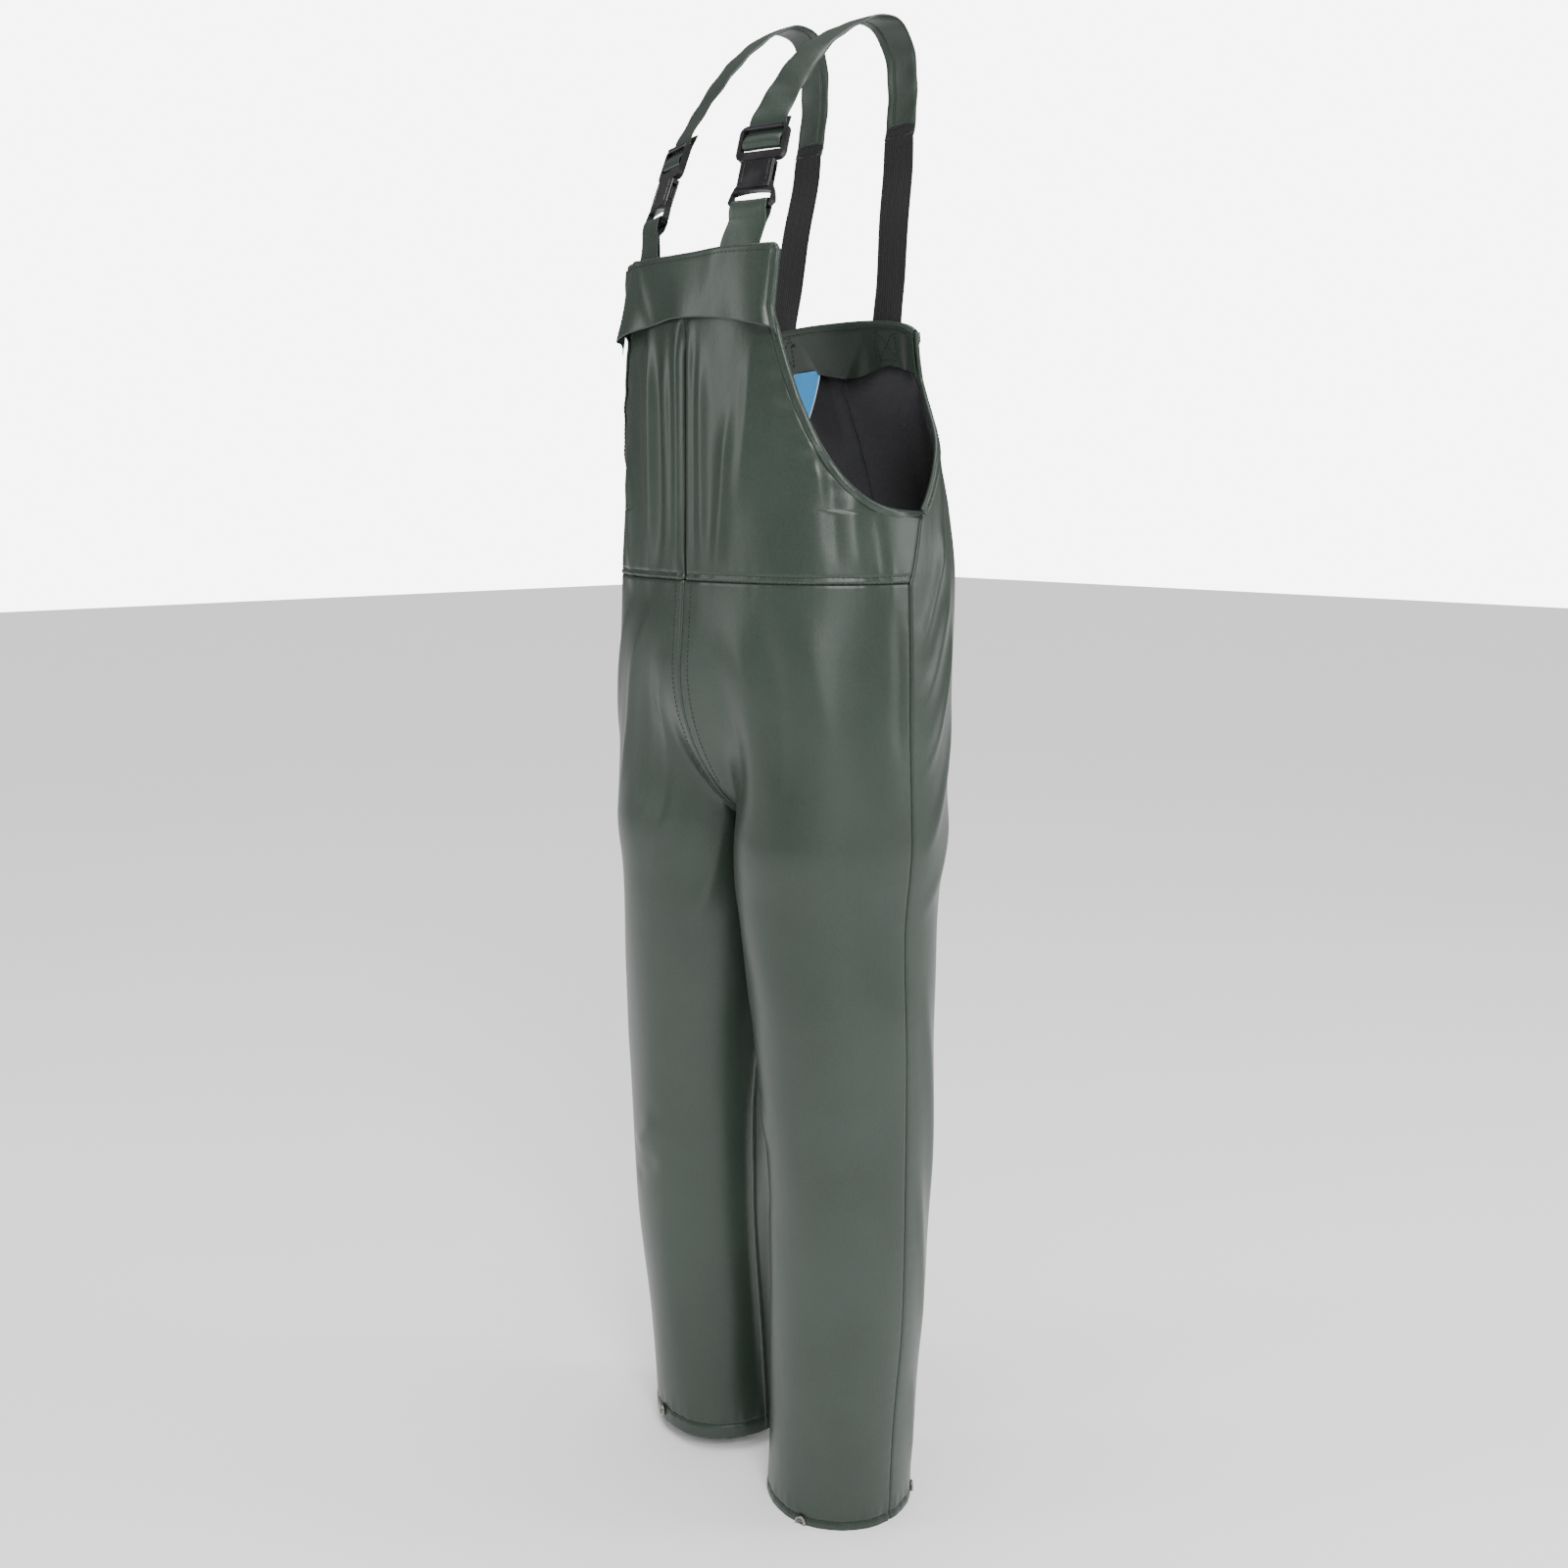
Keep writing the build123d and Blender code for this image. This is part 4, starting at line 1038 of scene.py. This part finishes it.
def makeBrace(word, side):
    flip = np.array([side, 1, 1])
    # the cloth strap: over the shoulder, under the plug's top bar, round its middle bar and back up behind
    # the left strap lies a little lower over the shoulder
    sag = 0.012 if side > 0 else 0
    free = []
    for x, y, z, turn in strapPath:
        lower = sag * math.exp(-((z + 2) / 34) ** 2)
        free.append((x / 1000, y / 1000, z / 1000 - lower, turn))
    held = [tuple(atBuckle(0, y, z)) + (buckle["yaw"],) for y, z in strapEnd]
    curve = splineThrough(np.array(free + held), 340)
    path, yaws = curve[:, :3], curve[:, 3]
    # full thickness over the shoulder and one ply round the buckle's bar
    single = smoothStep((np.arange(len(path)) / len(path) - 0.66) / 0.06)
    thickness = web["strapThickness"] * (1 - single) + web["plyThickness"] * single
    base = strapSection(1.0, 1.0, 46, 10)
    sections = np.empty((len(path), len(base), 2))
    halfWidth = web["width"] * (1 - 0.010 * np.sin(np.arange(len(path)) * 0.055))
    reach = base[None, :, 0] * halfWidth[:, None]
    sections[..., 0] = reach
    seam = 0.0009 * np.exp(-((reach + 0.010) / 0.0009) ** 2) * (1 - single[:, None]) * (base[None, :, 1] < 0)
    crown = 0.0008 * (1 - (2 * base[None, :, 0]) ** 2) * (1 - single[:, None])
    ripple = 0.0005 * np.sin(np.arange(len(path)) * 0.21)[:, None] * (2 * base[None, :, 0]) ** 2
    sections[..., 1] = base[None, :, 1] * thickness[:, None] + seam + crown + ripple
    strap, width, outwards, length = tubePiece(word + "ShoulderStrap", path, yaws, sections, side, cloth)
    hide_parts(word + "_shoulder_strap")
    end = atBuckle(0, 60, -2) * flip
    word + "_brace"
    word + "_plug"
    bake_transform(strap)
    word + "_elastic_web"

    # the elastic web: from inside the back band up into the strap's end
    foot = clothPoints(2 - (2 - float(backTurn(-0.300))) * band["box"] / band["reach"], -0.302, -0.0022)
    rise = [(foot[0], foot[1], foot[2], 0), (foot[0] - 0.0002, foot[1] + 0.0006, -0.286, 0),
            (foot[0] - 0.003, foot[1] + 0.0065, -0.235, -1), (foot[0] - 0.006, foot[1] + 0.0125, -0.185, -1),
            (0.0655, 0.0135, -0.140, 0), (0.0640, 0.0160, -0.112, 0), (0.0636, 0.0187, -0.099, 0)]
    curve = splineThrough(np.array(rise), 130)
    section = strapSection(web["width"], web["elasticThickness"], 64, 14)
    cords = 0.00012 * np.cos(section[:, 0] * 2 * math.pi / 0.0031) * np.sign(section[:, 1])
    section[:, 1] += cords * (np.abs(section[:, 0]) < web["width"] * 0.46)
    sections = np.broadcast_to(section, (130,) + section.shape).copy()
    grip = smoothStep((np.arange(130) - 112) / 16)[:, None]
    sections[..., 0] *= 1 - 0.02 * np.sin(np.arange(130) * 0.06)[:, None] - 0.05 * grip
    sections[..., 1] *= 1 - 0.55 * grip
    # the foot bends round with the back
    foothold = 1 - smoothStep((np.arange(130) - 8) / 30)[:, None]
    sections[..., 1] -= (0.0009 + 0.0013 * (section[None, :, 0] / 0.02) ** 2) * foothold
    piece, _, _, length = tubePiece(word + "ElasticWeb", curve[:, :3], curve[:, 3], sections, side, elastic)
    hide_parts(word + "_elastic_web")
    word + "_brace"
    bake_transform(piece)

    # rows of stitching where the elastic enters the strap
    rows = []
    for down in (3, 9):
        for face in (1, -1):
            line = path[down] + width[down] * np.linspace(-0.018, 0.018, 30)[:, None]
            reach = web["strapThickness"] / 2 + 0.0002 + (0.0006 if face > 0 else 0)
            line = line + outwards[down] * face * reach
            rows.append(stitchRow(line * flip, np.broadcast_to(outwards[down] * face * flip, line.shape)))
    stitchPiece(word + "StrapStitches", rows, word + "_brace")


def makeLoop(word, side):
    # webbing folded round the socket's bottom bar, both ends sewn behind the bib's top edge
    stations = []
    for station in loopPath:
        if station[0] == "in":
            stations.append(tuple(clothPoints(loopTurn, station[1], -station[2])) + (13,))
        else:
            stations.append(tuple(atBuckle(0, *station)) + (buckle["yaw"],))
    curve = splineThrough(np.array(stations), 190)
    section = strapSection(web["width"], web["plyThickness"], 40, 10)
    sections = np.broadcast_to(section, (190,) + section.shape).copy()
    sections[..., 0] *= 1 - 0.015 * np.cos(np.arange(190) * 0.07)[:, None]
    sections[..., 1] += 0.0005 * np.sin(np.arange(190) * 0.12)[:, None] * (section[None, :, 0] / 0.02) ** 2
    piece, _, _, length = tubePiece(word + "BibLoop", curve[:, :3], curve[:, 3], sections, side, cloth)
    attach(piece, "garment")
    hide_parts(word + "_bib_loop")
    word + "_buckle_socket"


for side, word in ((1, "left"), (-1, "right")):
    makeBrace(word, side)
    makeLoop(word, side)
print("braces and loops ready")


# Press studs: turned rings outside and caps inside, with two spring bars across each ring
studs = {"turns": (105 / 180, 228 / 180), "height": 0.009,
         "ring": ((0.0, 0.0004), (0.0030, 0.0004), (0.0034, 0.0010), (0.0038, 0.0019), (0.0046, 0.0023),
                  (0.0056, 0.0020), (0.0064, 0.0011), (0.0065, 0.0002), (0.0060, -0.0004), (0.0, -0.0004)),
         "cap": ((0.0, 0.0016), (0.0030, 0.0016), (0.0052, 0.0011), (0.0062, 0.0004), (0.0062, -0.0004),
                 (0.0, -0.0004))}


def latheGrid(profile, centre, axis, steps=40):
    # a profile of (radius, height) turned about an axis; radius shrinks to a tiny ring at the poles
    aside = unit(np.cross(axis, [0, 0, 1.0]))
    over = np.cross(aside, axis)
    angle = np.linspace(0, 2 * math.pi, steps, endpoint=False)
    ring = aside * np.cos(angle)[:, None] + over * np.sin(angle)[:, None]
    fine = splineThrough(np.array([(r, h, 0) for r, h in profile]), 34)
    radius, height = np.maximum(fine[:, 0], 0.00005), fine[:, 1]
    return centre + ring[None] * radius[:, None, None] + axis * height[:, None, None]


def joined(name, grids, material):
    # several closed grids as one mesh
    parts = [gridMesh(name, grid, ring=True) for grid in grids]
    with bpy.context.temp_override(active_object=parts[0], selected_editable_objects=parts):
        bpy.ops.object.join()
    parts[0].data.materials.append(material)
    return parts[0]


def makeStuds(word, side):
    grids = []
    for turn in studs["turns"]:
        z = shape["hem"] + studs["height"]
        point, deeper = clothPoints(turn, z, 0.0010), clothPoints(turn, z, -0.0040)
        point[2] = deeper[2] = z + hemDrop(z, side)
        axis = unit(point - deeper)
        aside = unit(np.cross(axis, [0, 0, 1.0]))
        over = np.cross(aside, axis)
        grids.append(latheGrid(studs["ring"], point + axis * 0.0004, axis)[::-1])
        grids.append(latheGrid(studs["cap"], point - axis * 0.0050, -axis)[::-1])
        for shift in (-0.0016, 0.0016):
            line = point + axis * 0.0013 + over * shift + aside * np.linspace(-0.0036, 0.0036, 5)[:, None]
            angle = np.linspace(0, 2 * math.pi, 8, endpoint=False)
            ring = 0.0005 * (over * np.cos(angle)[:, None] + axis * np.sin(angle)[:, None])
            grids.append(line[:, None] + ring[None])
    if side < 0:
        grids = [mirrored(grid) for grid in grids]
    obj = joined(word + "HemStuds", grids, studMetal)
    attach(obj, "garment")
    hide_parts(word + "_hem_studs")


for side, word in ((1, "left"), (-1, "right")):
    makeStuds(word, side)
print("studs ready")


def makeSeams():
    waist, middles, hems, armholes = [], [], [], []
    for word in ("left", "right"):
        front, back, bib = (panels[word][key] for key in ("front", "back", "bib"))
        # waist: one row on the seam and one above it
        for height in (shape["waist"] + 0.0011, shape["waist"] + waistSeam["gap"]):
            steps = np.linspace(0.004, float(np.interp(height, bib["z"], bib["width"])) - 0.002, 200)
            waist.append(stitchRow(*readPanel(bib, np.full(200, height), steps, False, 0.0002)))
        # middle seams of front and back, down to the crotch, and the front row beside each
        for panel, finishEdge in ((front, False), (back, True)):
            z = np.linspace(shape["waist"] - 0.004, shape["crotch"] + 0.045, 160)
            middles.append(stitchRow(*readPanel(panel, z, np.full(160, rowGap), finishEdge, 0.0002)))
        z = np.linspace(shape["bandTop"] - 0.012, shape["waist"], 120)
        middles.append(stitchRow(*readPanel(back, z, np.full(120, rowGap), True, 0.0002)))
        # hems: one row round each leg end
        z = np.full(200, shape["hem"] + shape["hemDepth"] - 0.003)
        for panel in (front, back):
            steps = np.linspace(0.002, float(np.interp(z[0], panel["z"], panel["width"])) - 0.002, 200)
            hems.append(stitchRow(*readPanel(panel, z, steps, False, 0.0003)))
        # armholes: one row through the binding on each side
        z = np.linspace(shape["armhole"] + 0.004, -0.304, 160)
        armholes.append(stitchRow(*readPanel(bib, z, np.full(160, 0.0048), True, 0.0018)))
        z = np.linspace(shape["armhole"] + 0.004, shape["bandTop"] - 0.014, 160)
        armholes.append(stitchRow(*readPanel(back, z, np.full(160, 0.0048), False, 0.0018)))
    stitchPiece("waistStitches", waist, "garment")
    stitchPiece("middleStitches", middles, "garment")
    stitchPiece("hemStitches", hems, "garment")
    stitchPiece("armholeStitches", armholes, "garment")


def rowOf(grid, drop, after):
    # fractional row where the folded strip's profile has dropped this far, before or after its top
    rows = np.arange(len(grid["drop"]))
    top = grid["top"]
    if after:
        return np.interp(-drop, -grid["drop"][top:], rows[top:])
    return np.interp(drop, grid["drop"][:top + 1], rows[:top + 1])


def makeTopStitches():
    rows = []
    # along the flap's top edge, which curves down at both corners
    cols = np.linspace(8, len(bibFlap["x"]) - 9, 400)
    place = np.full(400, rowOf(bibFlap, -0.0052, False))
    rows.append(stitchRow(*readGrid(bibFlap["points"], bibFlap["normals"], place, cols, 0.0008)))
    # along the band's top edge, its ends, and a crossed box over the foot of each elastic
    arc = backBand["arc"]
    order = np.arange(len(arc), dtype=float)

    def onBand(arcs, drops):
        cols = np.interp(-np.asarray(arcs), -arc, order)
        place = np.array([rowOf(backBand, drop, True) for drop in drops])
        points, normals = readGrid(backBand["points"], backBand["normals"], place, cols, 0.0008)
        return stitchRow(points, normals)

    reach = arc.max() - 0.004
    rows.append(onBand(np.linspace(-reach, reach, 500), np.full(500, -0.0050)))
    for side in (1, -1):
        rows.append(onBand(np.full(60, side * reach), np.linspace(-0.005, -0.042, 60)))
        low, high = side * (band["box"] - 0.0165), side * (band["box"] + 0.0165)
        corners = [(low, -0.007), (high, -0.007), (high, -0.037), (low, -0.037)]
        for first, second in ((0, 1), (1, 2), (2, 3), (3, 0), (0, 2), (1, 3)):
            share = np.linspace(0, 1, 60)
            rows.append(onBand(corners[first][0] * (1 - share) + corners[second][0] * share,
                               corners[first][1] * (1 - share) + corners[second][1] * share))
    stitchPiece("topStitches", rows, "garment")


makeSeams()
makeTopStitches()
print("stitches ready")

# The buckles keep their own shapes and get moulded plastic
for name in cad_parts:
    if "buckle" in name:
        node = bpy.data.objects[name]
        for slot in node.material_slots:
            slot.material = plastic
print("buckles finished")


# Floor, light and camera
view = {"azimuth": 48.5, "pitch": 10, "distance": 1.673, "aim": (0, -0.080, -0.736), "lens": 38.0,
        "shift": 0.003}
floorData = bpy.data.meshes.new("floor")
floorReach, floorZ = 14.0, cadBox[0][2] - 0.004
floorCorners = [(-floorReach, -floorReach, floorZ), (floorReach, -floorReach, floorZ),
                (floorReach, floorReach, floorZ), (-floorReach, floorReach, floorZ)]
floorData.from_pydata(floorCorners, [], [(0, 1, 2, 3)])
floor = bpy.data.objects.new("floor", floorData)
bpy.context.scene.collection.objects.link(floor)
floorData.materials.append(floorFinish)

# the backdrop is brighter than the light it sheds on the cloth
studio = {"shed": 0.22, "seen": 7.0}
world = bpy.data.worlds.new("studio")
world.use_nodes = True
ray = world.node_tree.nodes.new("ShaderNodeLightPath")
strength = world.node_tree.nodes.new("ShaderNodeMapRange")
strength.inputs["To Min"].default_value = studio["shed"]
strength.inputs["To Max"].default_value = studio["seen"]
world.node_tree.links.new(ray.outputs["Is Camera Ray"], strength.inputs["Value"])
background = world.node_tree.nodes["Background"]
background.inputs[0].default_value = (1, 1, 1, 1)
world.node_tree.links.new(strength.outputs[0], background.inputs[1])
bpy.context.scene.world = world


def turned(azimuth, elevation, distance):
    # a place round the object, and the angles that look back at its middle
    a, e = math.radians(azimuth), math.radians(elevation)
    away = np.array([math.sin(a) * math.cos(e), -math.cos(a) * math.cos(e), math.sin(e)])
    return np.array(view["aim"]) + distance * away, (math.pi / 2 - e, 0, a)


def softLight(name, azimuth, elevation, distance, size, power):
    data = bpy.data.lights.new(name, "AREA")
    data.shape = "RECTANGLE"
    data.size, data.size_y = size
    data.energy = power
    obj = bpy.data.objects.new(name, data)
    bpy.context.scene.collection.objects.link(obj)
    obj.location, obj.rotation_euler = turned(azimuth, elevation, distance)


softLight("key", 60, 25, 3.0, (0.9, 1.7), 46)
softLight("left", -30, 21, 2.9, (0.5, 1.7), 21)
softLight("right", 132, 20, 2.9, (0.7, 1.8), 34)
softLight("high", 62, 38, 2.6, (0.8, 0.8), 26)

# a broad light from straight above whitens the floor and barely touches the hanging cloth
overhead = bpy.data.lights.new("overhead", "SUN")
overhead.energy = 3.3
overhead.angle = 0.9
overheadObject = bpy.data.objects.new("overhead", overhead)
bpy.context.scene.collection.objects.link(overheadObject)

cameraData = bpy.data.cameras.new("camera")
cameraData.lens = view["lens"]
cameraData.sensor_width = 36
cameraData.shift_x = view["shift"]
camera = bpy.data.objects.new("camera", cameraData)
bpy.context.scene.collection.objects.link(camera)
camera.location, camera.rotation_euler = turned(view["azimuth"], view["pitch"], view["distance"])
bpy.context.scene.camera = camera
